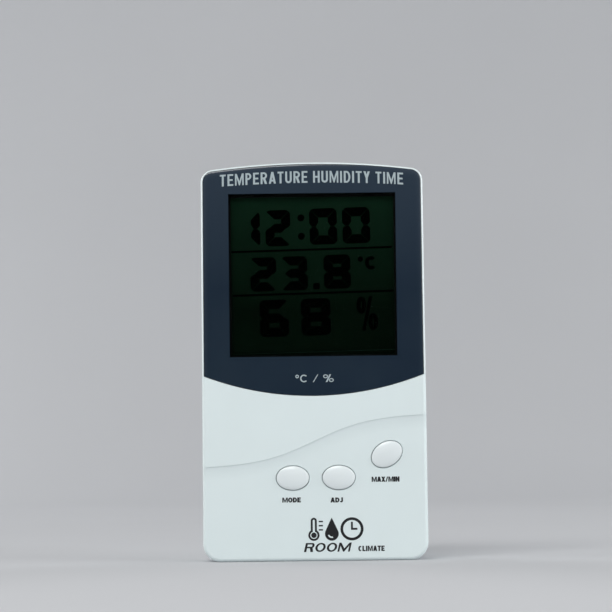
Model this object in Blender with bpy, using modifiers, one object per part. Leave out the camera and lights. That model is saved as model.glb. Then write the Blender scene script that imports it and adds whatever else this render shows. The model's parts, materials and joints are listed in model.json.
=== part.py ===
"""Maximum minimum thermometer: a room thermometer, hygrometer and clock for a desk or a wall.

The frame is +Z up, +X to the right as seen from the front, and the front face looks along -Y.
The origin is in the middle of the foot of the case. Sizes below are in millimetres, and every
helper scales them to metres. The instrument stands upright, with its stand folded in.
"""
import math

import bmesh
import bpy
from mathutils import Matrix, Vector

MM = 0.001
GAP = 0.3                      # clearance between pieces that rest on each other

# Case, seen from the front
CASE_HALF_WIDTH = 35.2
CASE_HEIGHT = 125.0
CASE_TAPER = 0.010             # share of the width that is lost from foot to top
TOP_ARC_RADIUS = 250.0
TOP_CORNER_RADIUS = 4.0
FOOT_CORNER_RADIUS = 5.6

# Case, from front to back
BUTTON_TOP_Y = -12.0
FACE_Y = -11.6
LOWER_FACE_Y = -10.9           # the face under the wave step
PARTING_Y = 1.0
BACK_Y = 12.0
WALL = 2.0
FRONT_WALL_IN_Y = -9.6
BACK_WALL_IN_Y = BACK_Y - WALL

# Display, seen from the front
LENS_RIM = 0.9
LENS_FOOT_RADIUS = 96.0
LENS_FOOT_Z = 51.5
LENS_THICKNESS = 1.5
WINDOW_HALF_WIDTH = 26.25
WINDOW_FOOT_Z = 63.9
WINDOW_TOP_Z = 115.2
LENS_FLOOR_Y = FACE_Y + LENS_THICKNESS + GAP
LENS_FLOOR_BACK_Y = -8.4
LCD_HALF_WIDTH = 28.8
LCD_FOOT_Z = 60.8
LCD_TOP_Z = 118.3
LCD_FRONT_Y = -8.1
LCD_BACK_Y = -5.7
ZEBRA_FRONT_Y = -5.4
ZEBRA_BACK_Y = -3.4

# Main board
BOARD_FRONT_Y = -3.1
BOARD_BACK_Y = -1.9
BOARD_HALF_WIDTH = 31.8
BOARD_FOOT_Z = 14.0
BOARD_TOP_Z = 120.0
BOARD_PART_Y = BOARD_BACK_Y + GAP

# Wave step across the lower face: a smooth rise from left to right
WAVE_MIDDLE_Z = 37.6
WAVE_RISE = 8.2
WAVE_LENGTH = 18.0

# Push buttons: x, z and tilt in degrees
BUTTON_HALF_WIDTH = 4.85
BUTTON_HALF_HEIGHT = 3.5
BUTTON_CLEARANCE = 0.4
FRONT_BUTTONS = {
    "mode": (-7.0, 25.95, 0.0),
    "adjust": (7.4, 25.95, 0.0),
    "max_min": (22.5, 33.05, 31.0),
}
UNIT_BUTTON_X = 22.0
UNIT_BUTTON_Z = 108.0
UNIT_BUTTON_RADIUS = 2.5
SWITCH_HALF = 3.0
SWITCH_DEPTH = 3.5
PLUNGER_RADIUS = 1.7
PLUNGER_TOP = 4.2

# Battery bay
BAY_Z = 69.0
BAY_HALF_LENGTH = 25.7
BAY_HALF_HEIGHT = 6.0
BAY_FLOOR_Y = -0.9
CELL_RADIUS = 5.25
CELL_LENGTH = 43.5
CELL_NUB = 1.0
CELL_Y = 4.65
CONTACT_SPACE = 0.7            # from the bay's end to the inner side of its contact plate
TAB_X = BAY_HALF_LENGTH + 1.9
TAB_Y = 3.5
DOOR_HALF_LENGTH = 27.2
DOOR_HALF_HEIGHT = 8.2
DOOR_THICKNESS = 1.6

# Fold-out stand
STAND_AXIS_Y = 10.1
STAND_AXIS_Z = 53.0
STAND_HALF_WIDTH = 14.7
STAND_FOOT_Z = 5.0
STAND_FRONT_Y = 8.6
STAND_BACK_Y = 11.6
STAND_PIN_RADIUS = 1.2
STAND_RECESS_Y = 8.0
STAND_RECESS_HALF_WIDTH = 15.6
STAND_RECESS_FOOT_Z = 4.0
STAND_RECESS_TOP_Z = 56.2

# Keyhole for a wall screw
KEYHOLE_Z = 108.0
KEYHOLE_HEAD_RADIUS = 4.0
KEYHOLE_SLOT_HALF_WIDTH = 2.1
KEYHOLE_SLOT_TOP_Z = 115.0

# Sensors and sounder behind the upper back wall
VENT_X = -14.0
VENT_Z = 92.0
BUZZER_X = 14.0
BUZZER_Z = 92.0
BUZZER_RADIUS = 8.0

# Screws
CASE_SCREWS = {
    "foot_left": (-28.5, 8.0),
    "foot_right": (28.5, 8.0),
    "middle_left": (-28.5, 54.0),
    "middle_right": (28.5, 54.0),
}
BOARD_SCREWS = {
    "foot_left": (-27.0, 20.0),
    "foot_right": (27.0, 20.0),
    "middle_left": (-20.0, 56.0),
    "middle_right": (20.0, 56.0),
}
CASE_SEAT_Y = 9.0
CASE_SEAT_BACK_Y = 7.0
CASE_BOSS_RADIUS = 2.8
BOARD_BOSS_RADIUS = 2.5

# Turns for turned shapes, whose own axis is z
FACING_FRONT = Matrix.Rotation(math.pi / 2.0, 4, "X")
FACING_BACK = Matrix.Rotation(-math.pi / 2.0, 4, "X")
FACING_RIGHT = Matrix.Rotation(math.pi / 2.0, 4, "Y")


# ------------------------------------------------------------------ scene and materials

def clear_scene():
    for obj in list(bpy.data.objects):
        bpy.data.objects.remove(obj)


def new_collection(name):
    group = bpy.data.collections.new(name)
    bpy.context.scene.collection.children.link(group)
    return group


def material(name, color, roughness, metallic=0.0):
    surface = bpy.data.materials.new(name)
    surface.use_nodes = True
    shader = surface.node_tree.nodes["Principled BSDF"]
    shader.inputs["Base Color"].default_value = (*color, 1.0)
    shader.inputs["Roughness"].default_value = roughness
    shader.inputs["Metallic"].default_value = metallic
    return surface


# ------------------------------------------------------------------ outlines in x and z

def arc(x, z, radius, start, end, steps):
    """Points from one angle to another, in degrees, both ends included."""
    points = []
    for step in range(steps + 1):
        angle = math.radians(start + (end - start) * step / steps)
        points.append((x + radius * math.cos(angle), z + radius * math.sin(angle)))
    return points


def mirrored(points):
    """The points of a right half, and their mirror image in reverse order."""
    return points + [(-x, z) for x, z in reversed(points) if x > 0.001]


def tapered(points):
    return [(x * (1.0 - CASE_TAPER * z / CASE_HEIGHT), z) for x, z in points]


def top_corner():
    """The top corner's centre, and the angle at which it meets the long top arc."""
    x = CASE_HALF_WIDTH - TOP_CORNER_RADIUS
    reach = TOP_ARC_RADIUS - TOP_CORNER_RADIUS
    drop = math.sqrt(reach ** 2 - x ** 2)
    z = CASE_HEIGHT - TOP_ARC_RADIUS + drop
    return x, z, math.degrees(math.atan2(drop, x))


def upper_outline(inset):
    """Right half of the case's outline, from the upper side to the middle of the top."""
    x, z, angle = top_corner()
    corner = arc(x, z, TOP_CORNER_RADIUS - inset, 0.0, angle, 6)
    centre_z = CASE_HEIGHT - TOP_ARC_RADIUS
    top = arc(0.0, centre_z, TOP_ARC_RADIUS - inset, angle, 90.0, 6)
    return corner + top[1:]


def case_outline(inset):
    foot_x = CASE_HALF_WIDTH - FOOT_CORNER_RADIUS
    radius = FOOT_CORNER_RADIUS - inset
    foot = arc(foot_x, FOOT_CORNER_RADIUS, radius, -90.0, 0.0, 6)
    return tapered(mirrored(foot + upper_outline(inset)))


def lens_outline(inset):
    """The display's outline: the case's sides and top, over a wide arc that bulges down."""
    side = CASE_HALF_WIDTH - inset
    radius = LENS_FOOT_RADIUS - (inset - LENS_RIM)
    centre_z = LENS_FOOT_Z + LENS_FOOT_RADIUS
    spread = math.degrees(math.asin(side / radius))
    foot = arc(0.0, centre_z, radius, -90.0, -90.0 + spread, 9)
    return tapered(mirrored(foot + upper_outline(inset)))


def box_outline(x, z, half_width, half_height, radius=0.0):
    if radius == 0.0:
        corner = [(half_width, -half_height), (half_width, half_height)]
    else:
        across = half_width - radius
        up = half_height - radius
        corner = arc(across, -up, radius, -90.0, 0.0, 3) + arc(across, up, radius, 0.0, 90.0, 3)
    return [(x + px, z + pz) for px, pz in mirrored(corner)]


def oval_outline(x, z, half_width, half_height, tilt):
    points = []
    turn = Matrix.Rotation(math.radians(tilt), 2)
    for px, pz in arc(0.0, 0.0, 1.0, 0.0, 360.0, 24)[1:]:
        place = turn @ Vector((px * half_width, pz * half_height))
        points.append((x + place.x, z + place.y))
    return points


def keyhole_outline():
    """A round head with a narrower slot rising out of it."""
    width = KEYHOLE_SLOT_HALF_WIDTH
    meet = math.degrees(math.acos(width / KEYHOLE_HEAD_RADIUS))
    head = arc(0.0, KEYHOLE_Z, KEYHOLE_HEAD_RADIUS, 180.0 - meet, 360.0 + meet, 18)
    return head + arc(0.0, KEYHOLE_SLOT_TOP_Z, width, 0.0, 180.0, 8)


def wave_z(x):
    return WAVE_MIDDLE_Z + WAVE_RISE * math.tanh(x / WAVE_LENGTH)


def wave_outline():
    """Everything on the face under the wave, with room to spare at the sides and the foot."""
    reach = CASE_HALF_WIDTH + 2.0
    steps = 24
    points = [(reach, -2.0)]
    for step in range(steps + 1):
        x = reach - 2.0 * reach * step / steps
        points.append((x, wave_z(x)))
    points.append((-reach, -2.0))
    return points


# ------------------------------------------------------------------ solids

def place_mesh(name, mesh, group, surface=None):
    obj = bpy.data.objects.new(name, mesh)
    group.objects.link(obj)
    if surface:
        mesh.materials.clear()
        mesh.materials.append(surface)
    if group is CUTTERS:
        obj.hide_render = True
        obj.display_type = "WIRE"
    return obj


def solid_of(obj, name, group, surface=None):
    """The evaluated shape of a curve or a modified object, as one welded mesh with flat caps."""
    bpy.context.view_layer.update()
    depsgraph = bpy.context.evaluated_depsgraph_get()
    mesh = bpy.data.meshes.new_from_object(obj.evaluated_get(depsgraph))
    matrix = obj.matrix_world.copy()
    bpy.data.objects.remove(obj)
    shape = bmesh.new()
    shape.from_mesh(mesh)
    bmesh.ops.remove_doubles(shape, verts=shape.verts, dist=0.00001)
    bmesh.ops.dissolve_limit(shape, angle_limit=0.001, verts=shape.verts, edges=shape.edges)
    bmesh.ops.recalc_face_normals(shape, faces=shape.faces)
    shape.to_mesh(mesh)
    shape.free()
    mesh.name = name
    solid = place_mesh(name, mesh, group, surface)
    solid.matrix_world = matrix
    return solid


def plate(name, outline, front, back, group, surface=None):
    """A flat outline in x and z, as thick as the distance from front to back along y."""
    curve = bpy.data.curves.new(name + "_outline", "CURVE")
    curve.dimensions = "2D"
    curve.fill_mode = "BOTH"
    curve.extrude = (back - front) / 2.0 * MM
    spline = curve.splines.new("POLY")
    spline.points.add(len(outline) - 1)
    for point, (x, z) in zip(spline.points, outline):
        point.co = (x * MM, z * MM, 0.0, 1.0)
    spline.use_cyclic_u = True
    guide = bpy.data.objects.new(name + "_outline", curve)
    bpy.context.scene.collection.objects.link(guide)
    guide.rotation_euler.x = math.pi / 2.0
    guide.location.y = (front + back) / 2.0 * MM
    return solid_of(guide, name, group, surface)


def box(name, low, high, group, surface=None):
    shape = bmesh.new()
    bmesh.ops.create_cube(shape, size=1.0)
    low, high = Vector(low), Vector(high)
    bmesh.ops.scale(shape, vec=(high - low) * MM, verts=shape.verts)
    mesh = bpy.data.meshes.new(name)
    shape.to_mesh(mesh)
    shape.free()
    obj = place_mesh(name, mesh, group, surface)
    obj.location = (low + high) / 2.0 * MM
    return obj


def turned(name, profile, steps, group, surface=None):
    """A profile of (radius, height) pairs, from its top to its foot, turned about z."""
    mesh = bpy.data.meshes.new(name + "_profile")
    points = [(radius * MM, 0.0, height * MM) for radius, height in profile]
    edges = [(index, index + 1) for index in range(len(points) - 1)]
    mesh.from_pydata(points, edges, [])
    guide = bpy.data.objects.new(name + "_profile", mesh)
    bpy.context.scene.collection.objects.link(guide)
    screw = guide.modifiers.new("turn", "SCREW")
    screw.steps = steps
    screw.render_steps = steps
    screw.use_merge_vertices = True
    screw.merge_threshold = 0.00001
    return solid_of(guide, name, group, surface)


def rod(name, radius, y_low, y_high, x, z, steps, group, surface=None):
    """A plain round rod along y."""
    length = y_high - y_low
    solid = turned(name, [(0.0, length), (radius, length), (radius, 0.0), (0.0, 0.0)],
                   steps, group, surface)
    solid.rotation_euler.x = -math.pi / 2.0
    solid.location = Vector((x, y_low, z)) * MM
    return solid


def wire(name, route, radius, group, surface, resolution=2):
    """A round wire through points in millimetres."""
    curve = bpy.data.curves.new(name + "_route", "CURVE")
    curve.dimensions = "3D"
    curve.bevel_depth = radius * MM
    curve.bevel_resolution = resolution
    curve.use_fill_caps = True
    spline = curve.splines.new("POLY")
    spline.points.add(len(route) - 1)
    for point, place in zip(spline.points, route):
        point.co = (*(Vector(place) * MM), 1.0)
    guide = bpy.data.objects.new(name + "_route", curve)
    bpy.context.scene.collection.objects.link(guide)
    return solid_of(guide, name, group, surface)


def smooth_route(points, steps):
    """Catmull-Rom points through the given ones."""
    ends = [points[0]] + list(points) + [points[-1]]
    knots = [Vector(point) for point in ends]
    route = []
    for index in range(1, len(knots) - 2):
        before, start, end, after = knots[index - 1:index + 3]
        for step in range(steps):
            t = step / steps
            bend = 2.0 * before - 5.0 * start + 4.0 * end - after
            twist = 3.0 * (start - end) + after - before
            route.append(start + 0.5 * (t * (end - before) + t * t * bend + t ** 3 * twist))
    route.append(knots[-2])
    return route


def soften(solid, edge_y, radius, segments):
    """Rounds every edge that lies in the plane y = edge_y."""
    shape = bmesh.new()
    shape.from_mesh(solid.data)
    bmesh.ops.transform(shape, matrix=solid.matrix_world, verts=shape.verts)
    level = edge_y * MM
    rim = [edge for edge in shape.edges if all(abs(v.co.y - level) < 0.00001 for v in edge.verts)]
    bmesh.ops.bevel(shape, geom=rim, offset=radius * MM, segments=segments, profile=0.5,
                    affect="EDGES", clamp_overlap=True)
    shape.to_mesh(solid.data)
    shape.free()
    solid.matrix_world = Matrix.Identity(4)


def boolean(target, tool, operation):
    step = target.modifiers.new(tool.name, "BOOLEAN")
    step.operation = operation
    step.solver = "EXACT"
    step.object = tool


def cut(target, *tools):
    for tool in tools:
        boolean(target, tool, "DIFFERENCE")


def join(target, *tools):
    for tool in tools:
        boolean(target, tool, "UNION")


def smooth(obj):
    obj.data.shade_smooth()
    obj.data.set_sharp_from_angle(angle=math.radians(35.0))


# ------------------------------------------------------------------ case

def front_shell(surface):
    shell = plate("front_shell", case_outline(0.0), FACE_Y, PARTING_Y - GAP / 2.0, PARTS, surface)
    soften(shell, FACE_Y, 1.2, 3)
    cut(shell, plate("shell_wave", wave_outline(), FACE_Y - 1.0, LOWER_FACE_Y, CUTTERS))
    shell_hollow(shell)
    cut(shell, plate("shell_lens_rebate", lens_outline(LENS_RIM), FACE_Y - 1.0, LENS_FLOOR_Y, CUTTERS))
    middle_z = (WINDOW_FOOT_Z + WINDOW_TOP_Z) / 2.0
    window = box_outline(0.0, middle_z, WINDOW_HALF_WIDTH, WINDOW_TOP_Z - middle_z)
    cut(shell, plate("shell_window", window, LENS_FLOOR_Y - 1.0, LENS_FLOOR_BACK_Y + 1.0, CUTTERS))
    for name, (x, z, tilt) in FRONT_BUTTONS.items():
        hole = oval_outline(x, z, BUTTON_HALF_WIDTH + BUTTON_CLEARANCE,
                            BUTTON_HALF_HEIGHT + BUTTON_CLEARANCE, tilt)
        cut(shell, plate("shell_hole_" + name, hole, FACE_Y - 1.0, FRONT_WALL_IN_Y + 1.0, CUTTERS))
    shell_bosses(shell)
    smooth(shell)


def shell_hollow(shell):
    """The inside of the front shell, and the lip that reaches into the back shell."""
    lip_front = PARTING_Y - 2.5
    lip = plate("shell_lip", case_outline(WALL + GAP), lip_front + 0.5, PARTING_Y + 1.6, CUTTERS)
    join(shell, lip)
    cut(shell, plate("shell_cavity", case_outline(WALL), LENS_FLOOR_BACK_Y, lip_front, CUTTERS))
    cut(shell, plate("shell_lip_hole", case_outline(WALL + 1.1), lip_front - 1.0, PARTING_Y + 3.0,
                     CUTTERS))
    cut(shell, plate("shell_lower_cavity", lower_cavity_outline(), FRONT_WALL_IN_Y,
                     LENS_FLOOR_BACK_Y + 0.5, CUTTERS))


def lower_cavity_outline():
    """The hollow behind the thinner wall under the display."""
    half_width = CASE_HALF_WIDTH - WALL - 0.5
    height = LENS_FOOT_Z - WALL - 3.0
    return box_outline(0.0, WALL + 0.5 + height / 2.0, half_width, height / 2.0, 3.0)


def shell_bosses(shell):
    """Screw posts inside the front shell, with their blind holes."""
    start = FRONT_WALL_IN_Y - 0.1
    for name, (x, z) in CASE_SCREWS.items():
        join(shell, rod("boss_case_" + name, CASE_BOSS_RADIUS, start, CASE_SEAT_BACK_Y - GAP,
                        x, z, 16, CUTTERS))
        cut(shell, rod("pilot_case_" + name, 1.4, -1.0, CASE_SEAT_BACK_Y + 1.0, x, z, 12, CUTTERS))
    for name, (x, z) in BOARD_SCREWS.items():
        join(shell, rod("boss_board_" + name, BOARD_BOSS_RADIUS, start, BOARD_FRONT_Y - GAP,
                        x, z, 16, CUTTERS))
        cut(shell, rod("pilot_board_" + name, 1.2, -8.0, BOARD_FRONT_Y + 1.0, x, z, 12, CUTTERS))


def back_shell(surface):
    start = PARTING_Y + GAP / 2.0
    shell = plate("back_shell", case_outline(0.0), start, BACK_Y, PARTS, surface)
    soften(shell, BACK_Y, 2.5, 3)
    cut(shell, plate("back_cavity", case_outline(WALL), start - 1.0, BACK_WALL_IN_Y, CUTTERS))
    stand_recess(shell)
    battery_bay(shell)
    keyhole_pocket(shell)
    case_screw_wells(shell)
    back_openings(shell)
    smooth(shell)


def stand_recess(shell):
    """The pocket that the stand folds into, and the eyes that its pins turn in."""
    half, top, floor = STAND_RECESS_HALF_WIDTH, STAND_RECESS_TOP_Z, STAND_RECESS_Y - 1.6
    join(shell, box("recess_walls", (-half - 1.6, floor, 1.0), (half + 1.6, BACK_Y - 1.0, top + 1.6),
                    CUTTERS))
    for side in (-1.0, 1.0):
        middle = side * (half + 2.3)
        join(shell, box("recess_eye", (middle - 1.6, floor - 0.2, 49.0),
                        (middle + 1.6, BACK_Y - 0.5, top + 1.0), CUTTERS))
    cut(shell, box("recess", (-half, STAND_RECESS_Y, STAND_RECESS_FOOT_Z), (half, BACK_Y + 1.0, top),
                   CUTTERS))
    cut(shell, hinge_bar("recess_pin_hole", STAND_PIN_RADIUS + GAP, half + 2.4))


def hinge_bar(name, radius, reach):
    """A round bar on the stand's axis, as long to the left as to the right."""
    bar = turned(name, [(0.0, reach), (radius, reach), (radius, -reach), (0.0, -reach)], 16, CUTTERS)
    bar.rotation_euler.y = math.pi / 2.0
    bar.location = Vector((0.0, STAND_AXIS_Y, STAND_AXIS_Z)) * MM
    return bar


def battery_bay(shell):
    long, high = BAY_HALF_LENGTH, BAY_HALF_HEIGHT
    join(shell, box("bay_walls", (-long - 1.2, BAY_FLOOR_Y - 0.7, BAY_Z - high - 1.2),
                    (long + 1.2, BACK_Y - 1.0, BAY_Z + high + 1.2), CUTTERS))
    join(shell, box("bay_flange", (-long - 3.0, 8.6, BAY_Z - high - 3.7),
                    (long + 3.0, BACK_Y - 1.0, BAY_Z + high + 3.7), CUTTERS))
    cut(shell, box("bay", (-long, BAY_FLOOR_Y, BAY_Z - high), (long, BACK_Y + 1.0, BAY_Z + high), CUTTERS))
    door = box_outline(0.0, BAY_Z, DOOR_HALF_LENGTH + GAP, DOOR_HALF_HEIGHT + GAP, 1.5)
    rebate_y = BACK_Y - DOOR_THICKNESS - GAP
    cut(shell, plate("door_rebate", door, rebate_y, BACK_Y + 1.0, CUTTERS))
    for side in (-1.0, 1.0):
        slot_x = side * (long + 0.7)
        cut(shell, box("bay_tab_slot", (slot_x - 1.0, TAB_Y - 0.7, BAY_Z - 1.8),
                       (slot_x + 1.0, TAB_Y + 0.7, BAY_Z + 1.8), CUTTERS))
    cut(shell, rod("door_thumb_scoop", 6.0, BACK_Y - 1.3, BACK_Y + 1.0, 0.0,
                   BAY_Z + DOOR_HALF_HEIGHT, 20, CUTTERS))


def keyhole_pocket(shell):
    """A closed pocket behind the keyhole, deep enough for a screw's head."""
    join(shell, box("keyhole_walls", (-7.0, 4.8, 101.0), (7.0, BACK_Y - 1.0, 120.0), CUTTERS))
    cut(shell, box("keyhole_pocket", (-5.5, 6.2, 102.5), (5.5, BACK_WALL_IN_Y, 118.5), CUTTERS))
    cut(shell, plate("keyhole", keyhole_outline(), BACK_WALL_IN_Y - 0.5, BACK_Y + 1.0, CUTTERS))


def case_screw_wells(shell):
    for name, (x, z) in CASE_SCREWS.items():
        join(shell, rod("well_" + name, 4.2, CASE_SEAT_BACK_Y, BACK_Y - 1.0, x, z, 16, CUTTERS))
        cut(shell, rod("well_bore_" + name, 2.8, CASE_SEAT_Y, BACK_Y + 1.0, x, z, 16, CUTTERS))
        cut(shell, rod("well_hole_" + name, 1.4, CASE_SEAT_BACK_Y - 1.0, CASE_SEAT_Y + 1.0, x, z,
                       10, CUTTERS))


def back_openings(shell):
    """Sensor vents, sound holes, the sounder's ring and the unit button's hole."""
    for row in range(5):
        z = VENT_Z + (row - 2) * 3.2
        slot = box_outline(VENT_X, z, 10.0, 0.8, 0.7)
        cut(shell, plate("vent_%d" % row, slot, BACK_WALL_IN_Y - 1.0, BACK_Y + 1.0, CUTTERS))
    ring = rod("sounder_ring", BUZZER_RADIUS + 1.3, 8.6, BACK_Y - 1.0, BUZZER_X, BUZZER_Z, 24, CUTTERS)
    cut(ring, rod("sounder_seat", BUZZER_RADIUS + GAP, 7.6, BACK_Y, BUZZER_X, BUZZER_Z, 24, CUTTERS))
    join(shell, ring)
    for index in range(6):
        angle = math.radians(60.0 * index + 30.0)
        cut(shell, rod("sound_hole_%d" % index, 0.8, BACK_WALL_IN_Y - 1.0, BACK_Y + 1.0,
                       BUZZER_X + 4.0 * math.cos(angle), BUZZER_Z + 4.0 * math.sin(angle),
                       8, CUTTERS))
    cut(shell, rod("unit_hole", UNIT_BUTTON_RADIUS + GAP, BACK_WALL_IN_Y - 1.0, BACK_Y + 1.0,
                   UNIT_BUTTON_X, UNIT_BUTTON_Z, 20, CUTTERS))


# ------------------------------------------------------------------ display

def display_lens(surface):
    lens = plate("display_lens", lens_outline(LENS_RIM + GAP), FACE_Y, FACE_Y + LENS_THICKNESS,
                 PARTS, surface)
    soften(lens, FACE_Y, 0.25, 1)
    smooth(lens)


def display_stack(glass, film, plastic, rubber):
    box("lcd_panel", (-LCD_HALF_WIDTH, LCD_FRONT_Y, LCD_FOOT_Z),
        (LCD_HALF_WIDTH, LCD_BACK_Y, LCD_TOP_Z), PARTS, glass)
    box("lcd_reflector", (-LCD_HALF_WIDTH + 2.0, ZEBRA_FRONT_Y, LCD_FOOT_Z + 4.0),
        (LCD_HALF_WIDTH - 2.0, ZEBRA_FRONT_Y + 0.4, LCD_TOP_Z - 4.0), PARTS, film)
    frame = box("lcd_frame", (-LCD_HALF_WIDTH - 2.2, LCD_FRONT_Y, LCD_FOOT_Z - 2.0),
                (LCD_HALF_WIDTH + 2.2, ZEBRA_BACK_Y, LCD_TOP_Z + 1.8), PARTS, plastic)
    cut(frame, box("lcd_frame_hole", (-LCD_HALF_WIDTH - GAP, LCD_FRONT_Y - 1.0, LCD_FOOT_Z - GAP),
                   (LCD_HALF_WIDTH + GAP, ZEBRA_BACK_Y + 1.0, LCD_TOP_Z + GAP), CUTTERS))
    for name, z in (("lower", LCD_FOOT_Z + 0.8), ("upper", LCD_TOP_Z - 3.0)):
        box("zebra_strip_" + name, (-LCD_HALF_WIDTH + 2.0, ZEBRA_FRONT_Y, z),
            (LCD_HALF_WIDTH - 2.0, ZEBRA_BACK_Y, z + 2.2), PARTS, rubber)


# ------------------------------------------------------------------ buttons and switches

def front_button(name, x, z, tilt, surface):
    """A domed oval cap with a flange inside the case and a stem down to its switch."""
    flange_y = FRONT_WALL_IN_Y + GAP
    flange_back_y = flange_y + 0.8
    stem_y = BOARD_FRONT_Y - GAP - PLUNGER_TOP - GAP
    dome = [(0.0, 0.0), (0.45, 0.08), (0.75, 0.25), (0.92, 0.50), (1.0, 0.85)]
    profile = [(radius, BUTTON_TOP_Y + drop) for radius, drop in dome]
    profile += [(1.0, flange_y), (1.2, flange_y), (1.2, flange_back_y), (0.34, flange_back_y),
                (0.34, stem_y), (0.0, stem_y)]
    cap = turned(name + "_button", [(radius, -depth) for radius, depth in profile], 24, PARTS, surface)
    widen(cap, BUTTON_HALF_WIDTH, BUTTON_HALF_HEIGHT)
    cap.matrix_world = placed(x, 0.0, z, tilt) @ FACING_FRONT
    smooth(cap)


def widen(obj, across, up):
    """Stretches a shape of unit radius into an oval one."""
    obj.data.transform(Matrix.Diagonal((across, up, 1.0, 1.0)))


def placed(x, y, z, tilt=0.0):
    """A place in millimetres, turned by the tilt in degrees as seen from the front."""
    return Matrix.Translation(Vector((x, y, z)) * MM) @ Matrix.Rotation(math.radians(-tilt), 4, "Y")


def tact_switch(name, x, z, tilt, towards_back, plastic, cream):
    """A square switch housing with a blind hole, and the round plunger that moves in it."""
    foot_y = BOARD_PART_Y if towards_back else BOARD_FRONT_Y - GAP
    place = placed(x, foot_y, z, tilt) @ (FACING_BACK if towards_back else FACING_FRONT)
    base = box("switch_base_" + name, (-SWITCH_HALF, -SWITCH_HALF, 0.0),
               (SWITCH_HALF, SWITCH_HALF, SWITCH_DEPTH), PARTS, plastic)
    base.matrix_world = place @ base.matrix_basis
    bore = PLUNGER_RADIUS + GAP
    well = turned("switch_well_" + name, [(0.0, 5.0), (bore, 5.0), (bore, 1.4), (0.0, 1.4)], 16,
                  CUTTERS)
    well.matrix_world = place
    cut(base, well)
    edge = 0.2
    profile = [(0.0, PLUNGER_TOP), (PLUNGER_RADIUS - edge, PLUNGER_TOP),
               (PLUNGER_RADIUS, PLUNGER_TOP - edge), (PLUNGER_RADIUS, 2.3), (0.0, 2.3)]
    plunger = turned("switch_plunger_" + name, profile, 16, PARTS, cream)
    plunger.matrix_world = place
    smooth(plunger)


def unit_button(surface):
    """A small round cap, just below the back face, with a stem down to its switch."""
    top = BACK_Y - 0.3
    radius, flange_radius, stem_radius = UNIT_BUTTON_RADIUS, UNIT_BUTTON_RADIUS + 1.0, 1.5
    flange_y = BACK_WALL_IN_Y - GAP
    stem_y = BOARD_PART_Y + PLUNGER_TOP + GAP
    profile = [(0.0, top), (radius - 0.3, top), (radius, top - 0.3), (radius, flange_y),
               (flange_radius, flange_y), (flange_radius, flange_y - 0.8),
               (stem_radius, flange_y - 0.8), (stem_radius, stem_y), (0.0, stem_y)]
    cap = turned("unit_button", profile, 20, PARTS, surface)
    cap.matrix_world = placed(UNIT_BUTTON_X, 0.0, UNIT_BUTTON_Z) @ FACING_BACK
    smooth(cap)


# ------------------------------------------------------------------ main board

def main_board(surface):
    middle_z = (BOARD_FOOT_Z + BOARD_TOP_Z) / 2.0
    outline = box_outline(0.0, middle_z, BOARD_HALF_WIDTH, BOARD_TOP_Z - middle_z, 2.0)
    board = plate("main_board", outline, BOARD_FRONT_Y, BOARD_BACK_Y, PARTS, surface)
    front, back = BOARD_FRONT_Y - 1.0, BOARD_BACK_Y + 1.0
    for name, (x, z) in BOARD_SCREWS.items():
        cut(board, rod("board_hole_" + name, 1.2, front, back, x, z, 12, CUTTERS))
    for name, (x, z) in CASE_SCREWS.items():
        if z > BOARD_FOOT_Z:
            outwards = math.copysign(3.0, x)
            notch = box_outline(x + outwards, z, 7.0, CASE_BOSS_RADIUS + 1.0, 1.5)
            cut(board, plate("board_notch_" + name, notch, front, back, CUTTERS))


def board_parts(epoxy, steel, sleeve, plastic):
    profile = [(0.0, 1.4), (3.0, 1.2), (5.2, 0.7), (6.2, 0.0), (0.0, 0.0)]
    blob = turned("controller_blob", profile, 20, PARTS, epoxy)
    blob.matrix_world = placed(2.0, BOARD_PART_Y, 86.0) @ FACING_BACK
    smooth(blob)
    lying_can("quartz_crystal", 1.1, 6.2, -6.0, 112.0, steel)
    lying_can("capacitor", 2.0, 5.0, -24.0, 108.0, sleeve)
    thermistor(epoxy)
    humidity_sensor(plastic)


def lying_can(name, radius, length, x, z, surface):
    """A small round can that lies along z on the back of the board."""
    edge = radius * 0.2
    profile = [(0.0, length), (radius - edge, length), (radius, length - edge), (radius, edge),
               (radius - edge, 0.0), (0.0, 0.0)]
    can = turned(name, profile, 16, PARTS, surface)
    can.location = Vector((x, BOARD_PART_Y + radius, z)) * MM
    smooth(can)


def thermistor(surface):
    """A bead on a short stalk of leads, behind the vents."""
    profile = [(0.0, 5.6), (0.7, 5.3), (1.1, 4.5), (1.0, 3.7), (0.5, 3.0), (0.35, 0.0), (0.0, 0.0)]
    bead = turned("thermistor", profile, 12, PARTS, surface)
    bead.matrix_world = placed(VENT_X + 5.5, BOARD_PART_Y, VENT_Z + 3.0) @ FACING_BACK
    smooth(bead)


def humidity_sensor(surface):
    """A small square housing with three slots in its back, behind the vents."""
    x, half, back_y = VENT_X - 4.0, 5.0, 2.4
    sensor = box("humidity_sensor", (x - half, BOARD_PART_Y, VENT_Z - half),
                 (x + half, back_y, VENT_Z + half), PARTS, surface)
    for row in range(3):
        z = VENT_Z + 2.5 * (row - 1)
        cut(sensor, box("sensor_slot_%d" % row, (x - 3.5, back_y - 1.2, z - 0.6),
                        (x + 3.5, back_y + 1.0, z + 0.6), CUTTERS))


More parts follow.
